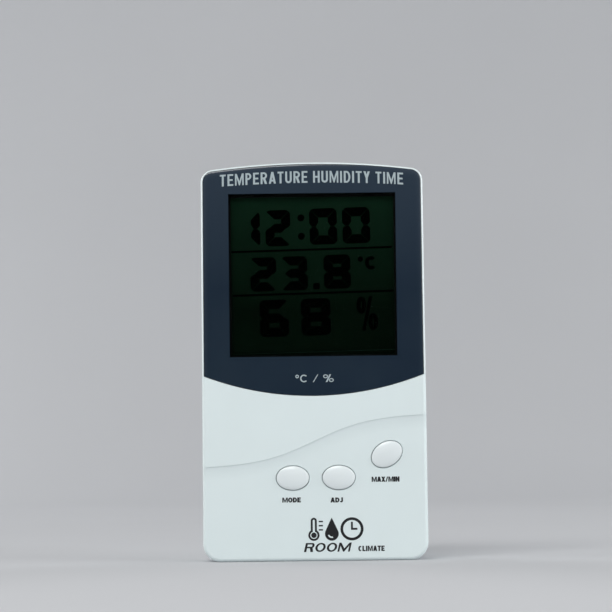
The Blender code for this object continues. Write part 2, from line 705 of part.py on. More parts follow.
def sounder(brass, steel):
    """A thin piezo disc in its ring on the back wall, and the spring that feeds it."""
    seat_y = BACK_WALL_IN_Y - GAP
    thickness = 0.6
    profile = [(0.0, thickness), (5.5, thickness), (5.5, 0.35), (BUZZER_RADIUS, 0.35),
               (BUZZER_RADIUS, 0.0), (0.0, 0.0)]
    disc = turned("buzzer_disc", profile, 24, PARTS, brass)
    disc.matrix_world = placed(BUZZER_X, seat_y, BUZZER_Z) @ FACING_FRONT
    smooth(disc)
    wire_radius = 0.3
    foot_y = BOARD_PART_Y + wire_radius
    top_y = seat_y - thickness - GAP - wire_radius
    coil("buzzer_spring", (BUZZER_X, foot_y, BUZZER_Z), (0.0, 1.0, 0.0), 1.6, 1.6, wire_radius,
         top_y - foot_y, 4, 10, steel)


def coil(name, foot, axis, foot_radius, top_radius, wire_radius, length, turns, per_turn, surface):
    """A coil spring from its foot along its axis, which may narrow towards the top."""
    foot, axis = Vector(foot), Vector(axis)
    across = axis.orthogonal().normalized()
    beside = axis.cross(across)
    route = []
    count = turns * per_turn
    for step in range(count + 1):
        share = step / count
        angle = 2.0 * math.pi * turns * share
        radius = foot_radius + (top_radius - foot_radius) * share
        turn = across * math.cos(angle) + beside * math.sin(angle)
        route.append(foot + axis * length * share + turn * radius)
    smooth(wire(name, route, wire_radius, PARTS, surface, 1))


# ------------------------------------------------------------------ battery

def battery(wrap, steel, red, black):
    nub_x = BAY_HALF_LENGTH - CONTACT_SPACE - GAP
    foot_x = nub_x - CELL_LENGTH - CELL_NUB
    edge, nub_radius, top = 0.4, 1.9, CELL_LENGTH + CELL_NUB
    profile = [(0.0, top), (nub_radius, top), (nub_radius, CELL_LENGTH),
               (CELL_RADIUS - edge, CELL_LENGTH), (CELL_RADIUS, CELL_LENGTH - edge),
               (CELL_RADIUS, edge), (CELL_RADIUS - edge, 0.0), (0.0, 0.0)]
    cell = turned("battery_cell", profile, 24, PARTS, wrap)
    cell.matrix_world = placed(foot_x, CELL_Y, BAY_Z) @ FACING_RIGHT
    smooth(cell)
    wire_radius = 0.35
    start_x = CONTACT_SPACE - BAY_HALF_LENGTH + GAP + wire_radius
    end_x = foot_x - GAP - wire_radius
    coil("battery_spring", (start_x, CELL_Y, BAY_Z), (1.0, 0.0, 0.0), 3.6, 2.2, wire_radius,
         end_x - start_x, 3, 14, steel)
    for side, pole, surface, colour in ((-1.0, "negative", black, "black"), (1.0, "positive", red, "red")):
        contact("battery_contact_" + pole, side, steel)
        battery_wire("battery_wire_" + colour, side, surface)


def contact(name, side, surface):
    """A contact plate with a solder tab that passes through the bay's end wall."""
    face = side * (BAY_HALF_LENGTH - 0.5)
    blade = box(name, (face - 0.2, 0.4, BAY_Z - 4.4), (face + 0.2, 8.8, BAY_Z + 4.4), PARTS, surface)
    low, high = sorted((face, side * TAB_X))
    join(blade, box(name + "_tab", (low, TAB_Y - 0.2, BAY_Z - 1.2), (high, TAB_Y + 0.2, BAY_Z + 1.2),
                    CUTTERS))


def battery_wire(name, side, surface):
    """From the contact's tab, round the end of the bay, to a pad on the board's back."""
    x = TAB_X + GAP
    bends = [(x, TAB_Y, 0.0), (x + 1.2, TAB_Y, 0.8), (x + 2.0, 3.2, 3.5), (x + 1.8, 2.6, 8.0),
             (x + 0.8, 1.2, 11.4), (x + 0.2, BOARD_PART_Y, 13.0)]
    route = [(side * across, y, BAY_Z + up) for across, y, up in bends]
    smooth(wire(name, smooth_route(route, 3), 0.5, PARTS, surface, 1))


def battery_door(surface):
    outline = box_outline(0.0, BAY_Z, DOOR_HALF_LENGTH, DOOR_HALF_HEIGHT, 1.2)
    door = plate("battery_door", outline, BACK_Y - DOOR_THICKNESS, BACK_Y, PARTS, surface)
    soften(door, BACK_Y, 0.3, 1)
    for row in range(4):
        z = BAY_Z + DOOR_HALF_HEIGHT - 2.0 - 1.5 * row
        groove = box_outline(0.0, z, 5.0 - 0.8 * row, 0.35)
        cut(door, plate("door_groove_%d" % row, groove, BACK_Y - 0.4, BACK_Y + 1.0, CUTTERS))


# ------------------------------------------------------------------ stand

def stand(surface):
    """A flat leg with a knuckle, two pins and a stop, whose origin is on the hinge's axis."""
    half = STAND_HALF_WIDTH
    middle_z = (STAND_AXIS_Z + STAND_FOOT_Z) / 2.0
    outline = box_outline(0.0, middle_z, half, STAND_AXIS_Z - middle_z, 2.5)
    leg = plate("stand", outline, STAND_FRONT_Y, STAND_BACK_Y, PARTS, surface)
    soften(leg, STAND_BACK_Y, 0.4, 1)
    cut(leg, rod("stand_finger_notch", 5.0, STAND_FRONT_Y - 1.0, STAND_BACK_Y + 1.0, 0.0,
                 STAND_FOOT_Z - 1.0, 24, CUTTERS))
    panel = box_outline(0.0, middle_z, half - 4.2, 15.0, 2.0)
    cut(leg, plate("stand_panel", panel, STAND_BACK_Y - 1.2, STAND_BACK_Y + 1.0, CUTTERS))
    join(leg, hinge_bar("stand_knuckle", STAND_PIN_RADIUS + 0.6, half - 0.1))
    join(leg, hinge_bar("stand_pins", STAND_PIN_RADIUS, STAND_RECESS_HALF_WIDTH + 1.9))
    join(leg, box("stand_stop", (-6.0, STAND_AXIS_Y - 0.6, STAND_AXIS_Z - 1.0),
                  (6.0, STAND_AXIS_Y + 0.6, STAND_AXIS_Z + 2.6), CUTTERS))
    hinge = Vector((0.0, STAND_AXIS_Y, STAND_AXIS_Z)) * MM
    leg.data.transform(Matrix.Translation(-hinge))
    leg.location = hinge
    smooth(leg)


# ------------------------------------------------------------------ screws

def screws(surface):
    case_pattern = screw_pattern("case", 2.3, 1.5, 1.1, 9.0, surface)
    board_pattern = screw_pattern("board", 1.9, 1.2, 0.9, 5.5, surface)
    for pattern, kind, places, seat_y in ((case_pattern, "case_screw_", CASE_SCREWS, CASE_SEAT_Y + GAP),
                                          (board_pattern, "board_screw_", BOARD_SCREWS, BOARD_PART_Y)):
        for name, (x, z) in places.items():
            screw = bpy.data.objects.new(kind + name, pattern.data)
            PARTS.objects.link(screw)
            screw.matrix_world = placed(x, seat_y, z) @ FACING_BACK
        bpy.data.objects.remove(pattern)


def screw_pattern(name, head, rise, shank, length, surface):
    """A pan-head screw with a cross recess, whose head's underside is at its origin."""
    profile = [(0.0, rise), (head * 0.6, rise), (head, rise * 0.55), (head, 0.0), (shank, 0.0),
               (shank, shank - length), (0.0, -length)]
    screw = turned(name + "_pattern", profile, 14, PARTS, surface)
    arm, half, floor = head * 0.55, head * 0.11, rise * 0.45
    cross = [box(name + "_slot_across", (-arm, -half, floor), (arm, half, rise + 1.0), CUTTERS),
             box(name + "_slot_up", (-half, -arm, floor - 0.1), (half, arm, rise + 1.0), CUTTERS)]
    cut(screw, *cross)
    screw = solid_of(screw, name + "_pattern", PARTS, surface)
    for tool in cross:
        bpy.data.objects.remove(tool)
    smooth(screw)
    return screw


# ------------------------------------------------------------------ the whole instrument

clear_scene()
PARTS = new_collection("maximum_minimum_thermometer")
CUTTERS = new_collection("cutters")

WHITE = material("white_abs", (0.80, 0.84, 0.84), 0.38)
BUTTON_WHITE = material("button_white", (0.86, 0.88, 0.88), 0.28)
SLATE = material("slate_lens", (0.035, 0.050, 0.062), 0.08)
LCD_GREEN = material("lcd_glass", (0.004, 0.014, 0.009), 0.12)
FILM = material("reflector_film", (0.45, 0.48, 0.46), 0.35)
GREY_PLASTIC = material("grey_plastic", (0.70, 0.72, 0.70), 0.45)
ZEBRA = material("zebra_rubber", (0.10, 0.10, 0.12), 0.80)
BOARD_GREEN = material("board_green", (0.02, 0.16, 0.06), 0.45)
EPOXY = material("black_epoxy", (0.012, 0.012, 0.013), 0.35)
STEEL = material("tinned_steel", (0.62, 0.62, 0.60), 0.28, 1.0)
DARK_PLASTIC = material("dark_plastic", (0.03, 0.03, 0.035), 0.50)
BRASS = material("buzzer_brass", (0.72, 0.52, 0.20), 0.30, 1.0)
CELL_WRAP = material("battery_wrap", (0.06, 0.16, 0.10), 0.30)
RED_INSULATION = material("red_insulation", (0.55, 0.03, 0.03), 0.45)
BLACK_INSULATION = material("black_insulation", (0.02, 0.02, 0.02), 0.45)

front_shell(WHITE)
back_shell(WHITE)
display_lens(SLATE)
display_stack(LCD_GREEN, FILM, GREY_PLASTIC, ZEBRA)
main_board(BOARD_GREEN)
board_parts(EPOXY, STEEL, DARK_PLASTIC, GREY_PLASTIC)
sounder(BRASS, STEEL)
for button, (button_x, button_z, button_tilt) in FRONT_BUTTONS.items():
    front_button(button, button_x, button_z, button_tilt, BUTTON_WHITE)
    tact_switch(button, button_x, button_z, button_tilt, False, DARK_PLASTIC, GREY_PLASTIC)
unit_button(BUTTON_WHITE)
tact_switch("unit", UNIT_BUTTON_X, UNIT_BUTTON_Z, 0.0, True, DARK_PLASTIC, GREY_PLASTIC)
battery(CELL_WRAP, STEEL, RED_INSULATION, BLACK_INSULATION)
battery_door(WHITE)
stand(WHITE)
screws(STEEL)
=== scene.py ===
"""Looks of the maximum minimum thermometer: fine surfaces, printing, display and materials.

Shapes are given in millimetres in the frame's own axes: +Z up, +X to the right as seen from the
front, and the front face looks along -Y. Places and sizes come from the frame's nodes.
"""
import json
from math import acos, asin, atan2, copysign, cos, degrees, pi, radians, sin, sqrt, tanh

import bmesh
import bpy
from mathutils import Matrix, Vector


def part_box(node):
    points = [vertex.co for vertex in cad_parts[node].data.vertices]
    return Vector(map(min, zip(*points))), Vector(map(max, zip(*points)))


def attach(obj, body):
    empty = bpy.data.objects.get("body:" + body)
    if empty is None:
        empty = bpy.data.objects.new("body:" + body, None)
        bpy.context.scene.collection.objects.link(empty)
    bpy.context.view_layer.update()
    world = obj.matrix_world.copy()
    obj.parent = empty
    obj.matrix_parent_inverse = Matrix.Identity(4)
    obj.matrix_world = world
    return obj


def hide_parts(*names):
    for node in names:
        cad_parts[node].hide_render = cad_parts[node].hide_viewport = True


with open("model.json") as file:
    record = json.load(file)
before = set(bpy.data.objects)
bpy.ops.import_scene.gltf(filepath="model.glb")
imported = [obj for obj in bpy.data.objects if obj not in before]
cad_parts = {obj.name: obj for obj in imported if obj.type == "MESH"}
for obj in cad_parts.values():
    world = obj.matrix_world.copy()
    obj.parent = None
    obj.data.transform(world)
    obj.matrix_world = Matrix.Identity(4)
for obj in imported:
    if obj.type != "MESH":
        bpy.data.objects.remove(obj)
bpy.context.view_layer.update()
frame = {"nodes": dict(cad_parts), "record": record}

MM = 0.001


def span(node):
    """A node's lowest and highest corners in millimetres."""
    low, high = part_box(node)
    return low / MM, high / MM


def middle(node):
    low, high = span(node)
    return (low + high) / 2


# Driving sizes, from the frame
FRONT_LOW, FRONT_HIGH = span("front_shell")
BACK_LOW, BACK_HIGH = span("back_shell")
LENS_LOW, LENS_HIGH = span("display_lens")
LCD_LOW, LCD_HIGH = span("lcd_panel")
DOOR_LOW, DOOR_HIGH = span("battery_door")
STAND_LOW, STAND_HIGH = span("stand")
CELL_LOW, CELL_HIGH = span("battery_cell")

FACE_Y = FRONT_LOW.y
BACK_Y = BACK_HIGH.y
PARTING_FRONT_Y = BACK_LOW.y - 0.3
CASE_HEIGHT = FRONT_HIGH.z
CASE_HALF_WIDTH = 35.2
CASE_TAPER = 0.010
TOP_ARC_RADIUS = 250
TOP_CORNER_RADIUS = 4
FOOT_CORNER_RADIUS = 5.6
FACE_EDGE_RADIUS = 1.2
BACK_EDGE_RADIUS = 2.5
WALL = 2
INNER_FRONT_Y = FACE_Y + WALL
INNER_BACK_Y = BACK_Y - WALL
SKIM = 0.01                    # the face is skimmed by this much, so that cuts cross it cleanly

# Wave step: a short soft step, then a slope that dies out below it
STEP_DEPTH = 0.12
STEP_WIDTH = 0.5
SLOPE_DEPTH = 0.58
SLOPE_WIDTH = 4.6
LOWER_FACE_Y = FACE_Y + STEP_DEPTH + SLOPE_DEPTH + SKIM

# Display
LENS_RIM = 0.55
LENS_GAP = 0.08
LENS_FOOT_RADIUS = 96
LENS_FOOT_Z = 51.5
LENS_FLOOR_Y = LENS_HIGH.y + 0.3
LENS_FLOOR_BACK_Y = LCD_LOW.y - 0.3
WINDOW_HALF_WIDTH = 26.25
WINDOW_FOOT_Z = 63.9
WINDOW_TOP_Z = 115.2
WINDOW_Z = (WINDOW_FOOT_Z + WINDOW_TOP_Z) / 2
WINDOW_HALF_HEIGHT = WINDOW_TOP_Z - WINDOW_Z
LCD_TILT = 1.2                 # the display sits slightly askew in its frame, in degrees
INK = 0.03                     # printing stands this far off its ground
INK_ROOT = 0.01                # and reaches this far into it
LCD_ROW_STROKE = 2.85

# Buttons: half width and height of a cap, and the tilt of each in degrees
BUTTON_HALF_WIDTH = 4.85
BUTTON_HALF_HEIGHT = 3.5
BUTTON_HOLE_GAP = 0.4
BUTTON_SPREAD = 0.23           # the caps are this much wider than their driving size
BUTTONS = {"mode": 0, "adjust": 0, "max_min": 31}
FLANGE_GAP = 0.3               # between a button's flange and the wall before it
FLANGE_THICKNESS = 0.8

# Back
HINGE_Y, HINGE_Z = 10.1, 53
RECESS_HALF = 15.6
RECESS_FLOOR_Y = 8
RECESS_FOOT_Z, RECESS_TOP_Z = 4, 56.2
BAY_HALF_LENGTH, BAY_HALF_HEIGHT = 25.7, 6


def wave_z(x):
    return 37.6 + 8.2 * tanh(x / 18)


def wave_depth(x, z):
    """How far the face lies behind its upper part."""
    below = wave_z(x) - z
    if below <= 0:
        return 0
    share = min(below / STEP_WIDTH, 1)
    step = share * share * (3 - 2 * share)
    slope = 1 - (1 - min(below / SLOPE_WIDTH, 1)) ** 2
    return STEP_DEPTH * step + SLOPE_DEPTH * slope


# ---- outlines in x and z

def arc(x, z, radius, start, end, steps):
    return oval_arc(x, z, radius, radius, start, end, steps)


def oval_arc(x, z, half_width, half_height, start, end, steps=16):
    points = []
    for step in range(steps + 1):
        angle = radians(start + (end - start) * step / steps)
        points.append((x + half_width * cos(angle), z + half_height * sin(angle)))
    return points


def quarter(steps):
    """Round a quarter turn: pairs of 1 - cos, which grows to 1, and 1 - sin, which falls to 0."""
    turns = [radians(90 * step / steps) for step in range(steps + 1)]
    return [(1 - cos(turn), 1 - sin(turn)) for turn in turns]


def mirrored(points):
    return points + [(-x, z) for x, z in reversed(points) if x > 0.001]


def tapered(points):
    return [(x * (1 - CASE_TAPER * z / CASE_HEIGHT), z) for x, z in points]


def upper_outline(inset):
    """Right half of the case's outline, round the top corner to the middle of the top."""
    corner_x = CASE_HALF_WIDTH - TOP_CORNER_RADIUS
    drop = sqrt((TOP_ARC_RADIUS - TOP_CORNER_RADIUS) ** 2 - corner_x ** 2)
    corner_z = CASE_HEIGHT - TOP_ARC_RADIUS + drop
    angle = degrees(atan2(drop, corner_x))
    corner = arc(corner_x, corner_z, TOP_CORNER_RADIUS - inset, 0, angle, 14)
    top = arc(0, CASE_HEIGHT - TOP_ARC_RADIUS, TOP_ARC_RADIUS - inset, angle, 90, 16)
    return corner + top[1:]


def case_outline(inset):
    """The case from the front. Its sides have many points, so that the wave can cross them."""
    foot = arc(CASE_HALF_WIDTH - FOOT_CORNER_RADIUS, FOOT_CORNER_RADIUS,
               FOOT_CORNER_RADIUS - inset, -90, 0, 14)
    side = [(CASE_HALF_WIDTH - inset, 24 + 0.6 * row) for row in range(38)]
    return tapered(mirrored(foot + side + upper_outline(inset)))


def lens_outline(inset, foot_inset):
    side = CASE_HALF_WIDTH - inset
    radius = LENS_FOOT_RADIUS - foot_inset
    spread = degrees(asin(side / radius))
    foot = arc(0, LENS_FOOT_Z + LENS_FOOT_RADIUS, radius, -90, -90 + spread, 24)
    return tapered(mirrored(foot + upper_outline(inset)))


def box_outline(x, z, half_width, half_height, radius):
    across = half_width - radius
    up = half_height - radius
    corner = arc(across, -up, radius, -90, 0, 6) + arc(across, up, radius, 0, 90, 6)
    return [(x + px, z + pz) for px, pz in mirrored(corner)]


def oval_outline(x, z, half_width, half_height, tilt=0, steps=64):
    turn = Matrix.Rotation(radians(tilt), 2)
    points = []
    for px, pz in arc(0, 0, 1, 0, 360, steps)[1:]:
        place = turn @ Vector((px * half_width, pz * half_height))
        points.append((x + place.x, z + place.y))
    return points


def keyhole_outline(grow):
    width, head = 2.1 + grow, 4 + grow
    meet = degrees(acos(width / head))
    bow = arc(0, 108, head, 180 - meet, 360 + meet, 40)
    return bow + arc(0, 115, width, 0, 180, 18)


# ---- meshes

def add_object(name, data):
    obj = bpy.data.objects.new(name, data)
    bpy.context.scene.collection.objects.link(obj)
    return obj


def solid(name, shape):
    """A bmesh as a new object, with its faces turned outwards."""
    bmesh.ops.recalc_face_normals(shape, faces=shape.faces)
    mesh = bpy.data.meshes.new(name)
    shape.to_mesh(mesh)
    shape.free()
    return add_object(name, mesh)


def weld(shape):
    bmesh.ops.remove_doubles(shape, verts=shape.verts, dist=0.000001)


def at_depth(outline, y):
    return [(x, y, z) for x, z in outline]


def loft(name, rings):
    """A closed solid through rings of equally many points, with a flat cap at each end."""
    shape = bmesh.new()
    rows = [[shape.verts.new(Vector(point) * MM) for point in ring] for ring in rings]
    count = len(rings[0])
    for lower, upper in zip(rows, rows[1:]):
        for index in range(count):
            after = (index + 1) % count
            shape.faces.new((lower[index], lower[after], upper[after], upper[index]))
    shape.faces.new(rows[0])
    shape.faces.new(rows[-1])
    return solid(name, shape)


def prism(name, outline, *depths):
    return loft(name, [at_depth(outline, y) for y in depths])


def stacked(name, outline, rows):
    """A closed solid through outline(size) at y, for each (size, y) of the rows."""
    return loft(name, [at_depth(outline(size), y) for size, y in rows])


def box(name, low, high):
    corners = [(low[0], low[2]), (high[0], low[2]), (high[0], high[2]), (low[0], high[2])]
    return prism(name, corners, low[1], high[1])


def rod(name, radius, y_low, y_high, x, z, steps=32):
    return prism(name, oval_outline(x, z, radius, radius, steps=steps), y_low, y_high)


def turned(name, profile, steps):
    """A closed profile of (radius, height) pairs, from top to foot, turned about z."""
    shape = bmesh.new()
    rows = []
    for radius, height in profile:
        if radius == 0:
            rows.append([shape.verts.new((0, 0, height * MM))] * steps)
        else:
            circle = arc(0, 0, radius, 0, 360, steps)[1:]
            rows.append([shape.verts.new((px * MM, py * MM, height * MM)) for px, py in circle])
    for upper, lower in zip(rows, rows[1:]):
        for index in range(steps):
            after = (index + 1) % steps
            corners = [upper[index], upper[after], lower[after], lower[index]]
            shape.faces.new(tuple(dict.fromkeys(corners)))
    weld(shape)
    return solid(name, shape)


def flared(name, outline, floor_y, face_y, fillet):
    """A cutter from floor_y out through face_y, whose mouth widens in a fillet."""
    out = copysign(1, face_y - floor_y)
    rows = [(fillet * rise, face_y - out * fillet * fall) for rise, fall in quarter(5)]
    return stacked(name, outline, [(0, floor_y)] + rows + [(fillet, face_y + out * 2)])


def plate(name, outlines, front_y, back_y):
    """Flat outlines, with holes where one lies inside another, as a thin solid."""
    curve = bpy.data.curves.new(name, "CURVE")
    curve.dimensions = "2D"
    curve.fill_mode = "BOTH"
    curve.extrude = (back_y - front_y) / 2 * MM
    for outline in outlines:
        spline = curve.splines.new("POLY")
        spline.points.add(len(outline) - 1)
        for point, (x, z) in zip(spline.points, outline):
            point.co = (x * MM, z * MM, 0, 1)
        spline.use_cyclic_u = True
    guide = add_object(name, curve)
    guide.rotation_euler.x = pi / 2
    guide.location.y = (front_y + back_y) / 2 * MM
    return settled(guide, name)


def settled(guide, name):
    """The evaluated shape of an object as a welded mesh in the frame's own axes."""
    bpy.context.view_layer.update()
    depsgraph = bpy.context.evaluated_depsgraph_get()
    mesh = bpy.data.meshes.new_from_object(guide.evaluated_get(depsgraph))
    mesh.transform(guide.matrix_world)
    bpy.data.objects.remove(guide)
    shape = bmesh.new()
    shape.from_mesh(mesh)
    bpy.data.meshes.remove(mesh)
    weld(shape)
    bmesh.ops.dissolve_limit(shape, angle_limit=0.0004, verts=shape.verts, edges=shape.edges)
    return solid(name, shape)


def cut(tool):
    return "DIFFERENCE", tool


def join(tool):
    return "UNION", tool


def oval_cut(name, x, z, radius, floor_y, face_y, fillet, steps):
    return cut(flared(name, lambda grow: oval_outline(x, z, radius + grow, radius + grow, steps=steps),
                      floor_y, face_y, fillet))


def box_cut(name, x, z, half_width, half_height, corner, floor_y, face_y, fillet):
    return cut(flared(name, lambda grow: box_outline(x, z, half_width + grow, half_height + grow,
                                                     corner + grow), floor_y, face_y, fillet))


def cut_and_join(target, steps):
    """Each step is an operation and its tool. The tools are used up."""
    for operation, tool in steps:
        change = target.modifiers.new(tool.name, "BOOLEAN")
        change.operation = operation
        change.solver = "EXACT"
        change.object = tool
    result = settled(target, target.name)
    for _, tool in steps:
        bpy.data.objects.remove(tool)
    return result


TO_BACK = Matrix.Rotation(-pi / 2, 4, "X")
TO_RIGHT = Matrix.Rotation(pi / 2, 4, "Y")


def seated(obj, x, y, z, facing):
    """Turns a piece made about z to its facing, and moves its origin to x, y, z."""
    obj.data.transform(Matrix.Translation(Vector((x, y, z)) * MM) @ facing)
    return obj


def finish_piece(obj, slot, surface, *nodes, body="case"):
    """Shading, material and place in the frame for one finished piece."""
    obj.data.materials.clear()
    obj.data.materials.append(SURFACES[surface])
    obj.data.shade_smooth()
    obj.data.set_sharp_from_angle(angle=radians(32))
    even = obj.modifiers.new("even_normals", "WEIGHTED_NORMAL")
    even.keep_sharp = True
    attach(obj, body)
    if nodes:
        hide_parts(*nodes)


# ---- materials

SURFACES = {}


class Nodes:
    """The node tree of a material or world and its shader, with short ways to texture it."""

    def __init__(self, owner, shader):
        owner.use_nodes = True
        self.tree = owner.node_tree
        self.shader = self.tree.nodes[shader]

    def feed(self, node, inputs):
        """Links an input whose value is a socket, and sets any other to its plain value."""
        for key, value in inputs.items():
            socket = node.inputs[key]
            if isinstance(value, bpy.types.NodeSocket):
                self.tree.links.new(value, socket)
            else:
                socket.default_value = (*value, 1) if socket.type == "RGBA" else value
        return node

    def add(self, kind, inputs):
        return self.feed(self.tree.nodes.new("ShaderNode" + kind), inputs)

    def place(self, kind="Object"):
        return self.add("TexCoord", {}).outputs[kind]

    def along(self, axis, start, end):
        """0 to 1 between two places on an axis, in millimetres."""
        split = self.add("SeparateXYZ", {"Vector": self.place()})
        return self.ranged(split.outputs[axis], 0, 1, start * MM, end * MM)

    def noise(self, size, detail=3, stretch=None):
        """Noise whose features are about size millimetres across."""
        place = self.place()
        if stretch:
            place = self.add("Mapping", {"Scale": stretch, "Vector": place}).outputs["Vector"]
        scale = 1 / (size * MM)
        return self.add("TexNoise", {"Scale": scale, "Detail": detail, "Vector": place}).outputs["Fac"]

    def ranged(self, value, low=0, high=1, start=0.3, end=0.7):
        return self.add("MapRange", {"Value": value, "From Min": start, "From Max": end,
                                     "To Min": low, "To Max": high}).outputs["Result"]

    def blended(self, share, first, second):
        """A colour between two, each of which is a colour or a socket."""
        mix = self.tree.nodes.new("ShaderNodeMix")
        mix.data_type = "RGBA"
        return self.feed(mix, {"Factor": share, 6: first, 7: second}).outputs[2]

    def color(self, share, first, second):
        self.feed(self.shader, {"Base Color": self.blended(share, first, second)})

    def gloss(self, value, low, high, start=0.3, end=0.7):
        self.feed(self.shader, {"Roughness": self.ranged(value, low, high, start, end)})

    def relief(self, height, depth):
        """Bump of a depth in millimetres."""
        bump = self.add("Bump", {"Strength": 1, "Distance": depth * MM, "Height": height})
        self.feed(self.shader, {"Normal": bump.outputs["Normal"]})


def new_surface(name, color, roughness, metallic=0):
    """A Principled material with plain values, before its textures are added."""
    SURFACES[name] = bpy.data.materials.new(name)
    nodes = Nodes(SURFACES[name], "Principled BSDF")
    nodes.feed(nodes.shader, {"Base Color": color, "Roughness": roughness, "Metallic": metallic})
    return nodes


def scaled(color, factor):
    return tuple(channel * factor for channel in color)


def moulded(name, color, spread, roughness, grain_size, grain_depth, rough_spread=0.04):
    """Moulded plastic: slow colour drift, a fine grain, and gloss that varies a little."""
    nodes = new_surface(name, color, roughness)
    drift = nodes.ranged(nodes.noise(22, 4))
    nodes.color(drift, scaled(color, 1 - spread), scaled(color, 1 + spread))
    nodes.gloss(nodes.noise(6), roughness - rough_spread, roughness + rough_spread)
    nodes.relief(nodes.noise(grain_size, 2), grain_depth)


def printed(name, color, roughness, specular=0.5):
    """Pad-printed ink, with slightly uneven cover."""
    nodes = new_surface(name, color, roughness)
    nodes.feed(nodes.shader, {"Specular IOR Level": specular})
    nodes.color(nodes.ranged(nodes.noise(0.25, 2)), scaled(color, 0.86), color)
    nodes.relief(nodes.noise(0.12, 2), 0.004)


def metal(name, color, roughness, stretch):
    """Drawn or brushed metal: fine streaks in gloss and relief."""
    nodes = new_surface(name, color, roughness, 1)
    streaks = nodes.noise(0.4, 4, stretch)
    nodes.color(nodes.ranged(streaks), scaled(color, 0.78), color)
    nodes.gloss(streaks, roughness + 0.12, roughness - 0.06)
    nodes.relief(streaks, 0.006)


def slate_surface(name):
    """Glossy slate print under clear acrylic, painted a little lighter towards the top: a painted
    reflection of the bright space above.
    """
    nodes = new_surface(name, (0.03, 0.05, 0.07), 0.06)
    # Painted reflection: the slate is painted lighter towards the top, where the glossy lens mirrors
    # more light.
    height = nodes.along("Z", 85, CASE_HEIGHT)
    base = nodes.blended(height, (0.0140, 0.0245, 0.0410), (0.031, 0.045, 0.066))
    nodes.color(nodes.ranged(nodes.noise(18, 4), 0, 0.3), base, (0.026, 0.042, 0.056))
    nodes.gloss(nodes.noise(9, 5), 0.04, 0.11, 0.35, 0.75)
    nodes.relief(nodes.noise(30, 2), 0.02)


def window_surface(name):
    """The clear part of the lens: it mirrors like glass, and lets the display show."""
    nodes = new_surface(name, (0.9, 0.95, 1), 0.05, 1)
    nodes.color(nodes.ranged(nodes.noise(14)), (0.86, 0.92, 0.97), (0.93, 0.97, 1))
    nodes.gloss(nodes.noise(9, 5), 0.035, 0.075, 0.35, 0.75)
    nodes.relief(nodes.noise(30, 2), 0.02)
    clear = nodes.add("BsdfTransparent", {"Color": (0.80, 0.88, 0.84)})
    fresnel = nodes.add("Fresnel", {"IOR": 1.45})
    mix = nodes.add("MixShader", {"Fac": fresnel.outputs["Fac"], 1: clear.outputs["BSDF"],
                                  2: nodes.shader.outputs["BSDF"]})
    nodes.feed(nodes.tree.nodes["Material Output"], {"Surface": mix.outputs["Shader"]})


def clear_back_surface(name):
    """The back of the lens's clear part, which only tints what is behind it."""
    nodes = new_surface(name, (0.02, 0.04, 0.03), 0.2)
    nodes.feed(nodes.shader, {"Alpha": 0.03, "Specular IOR Level": 0.1})
    nodes.color(nodes.ranged(nodes.noise(12)), (0.008, 0.022, 0.015), (0.014, 0.034, 0.024))
    nodes.gloss(nodes.noise(5), 0.16, 0.30)


def lcd_surface(name):
    """Dark green polariser film with a faint cloudiness, painted lighter towards the top as painted
    light.
    """
    nodes = new_surface(name, (0.003, 0.016, 0.010), 0.45)
    nodes.feed(nodes.shader, {"Specular IOR Level": 0.06})
    # Painted light: the film runs from near black at the foot to a lighter green at the top, as if more
    # light falls on its upper part.
    height = nodes.along("Z", LCD_LOW.z + 18, LCD_HIGH.z)
    base = nodes.blended(height, (0.0004, 0.0088, 0.0028), (0.0200, 0.0700, 0.0380))
    cloud = nodes.ranged(nodes.noise(16, 4), 0, 0.25)
    base = nodes.blended(cloud, base, (0.0030, 0.020, 0.0100))
    nodes.color(nodes.ranged(nodes.noise(0.5, 2), 0, 0.12), base, (0.008, 0.042, 0.025))
    nodes.relief(nodes.noise(0.2, 2), 0.002)


def board_surface(name):
    """Solder mask over tracks that show as slightly lighter, raised lines."""
    nodes = new_surface(name, (0.02, 0.15, 0.06), 0.38)
    turn = nodes.add("Mapping", {"Rotation": (pi / 2, 0, 0), "Vector": nodes.place()})
    tracks = nodes.add("TexBrick", {"Scale": 1 / (7 * MM), "Mortar Size": 0.03,
                                    "Vector": turn.outputs["Vector"]}).outputs["Fac"]
    base = nodes.blended(nodes.ranged(nodes.noise(12)), (0.014, 0.12, 0.045), (0.022, 0.16, 0.06))
    nodes.color(tracks, base, (0.05, 0.26, 0.10))
    nodes.relief(tracks, 0.03)


def battery_surface(name):
    """A printed sleeve: dark, with a copper band at the positive end and thin rings."""
    nodes = new_surface(name, (0.02, 0.06, 0.12), 0.28)
    bands = nodes.add("ValToRGB", {"Fac": nodes.along("X", CELL_LOW.x, CELL_HIGH.x)})
    ramp = bands.color_ramp
    ramp.interpolation = "CONSTANT"
    steel, sleeve = (0.62, 0.62, 0.60), (0.015, 0.035, 0.07)
    line, copper = (0.70, 0.70, 0.68), (0.55, 0.22, 0.06)
    stops = ((0, steel), (0.02, sleeve), (0.10, line), (0.115, sleeve), (0.70, line), (0.715, copper),
             (0.955, steel))
    for index, (place, color) in enumerate(stops):
        stop = ramp.elements[index] if index < 2 else ramp.elements.new(place)
        stop.position = place
        stop.color = (*color, 1)
    wear = nodes.ranged(nodes.noise(3, 4), 0, 0.18)
    nodes.color(wear, bands.outputs["Color"], (0.25, 0.25, 0.24))
    nodes.gloss(nodes.noise(2), 0.22, 0.36)
    nodes.relief(nodes.noise(1.2), 0.01)


def zebra_surface(name):
    """Rubber with fine conductive layers across it."""
    nodes = new_surface(name, (0.10, 0.10, 0.12), 0.8)
    stripes = nodes.add("TexWave", {"Scale": 1 / (1.2 * MM), "Vector": nodes.place()})
    stripes.bands_direction = "X"
    nodes.color(stripes.outputs["Fac"], (0.02, 0.02, 0.022), (0.42, 0.40, 0.42))
    nodes.relief(nodes.noise(0.3), 0.02)


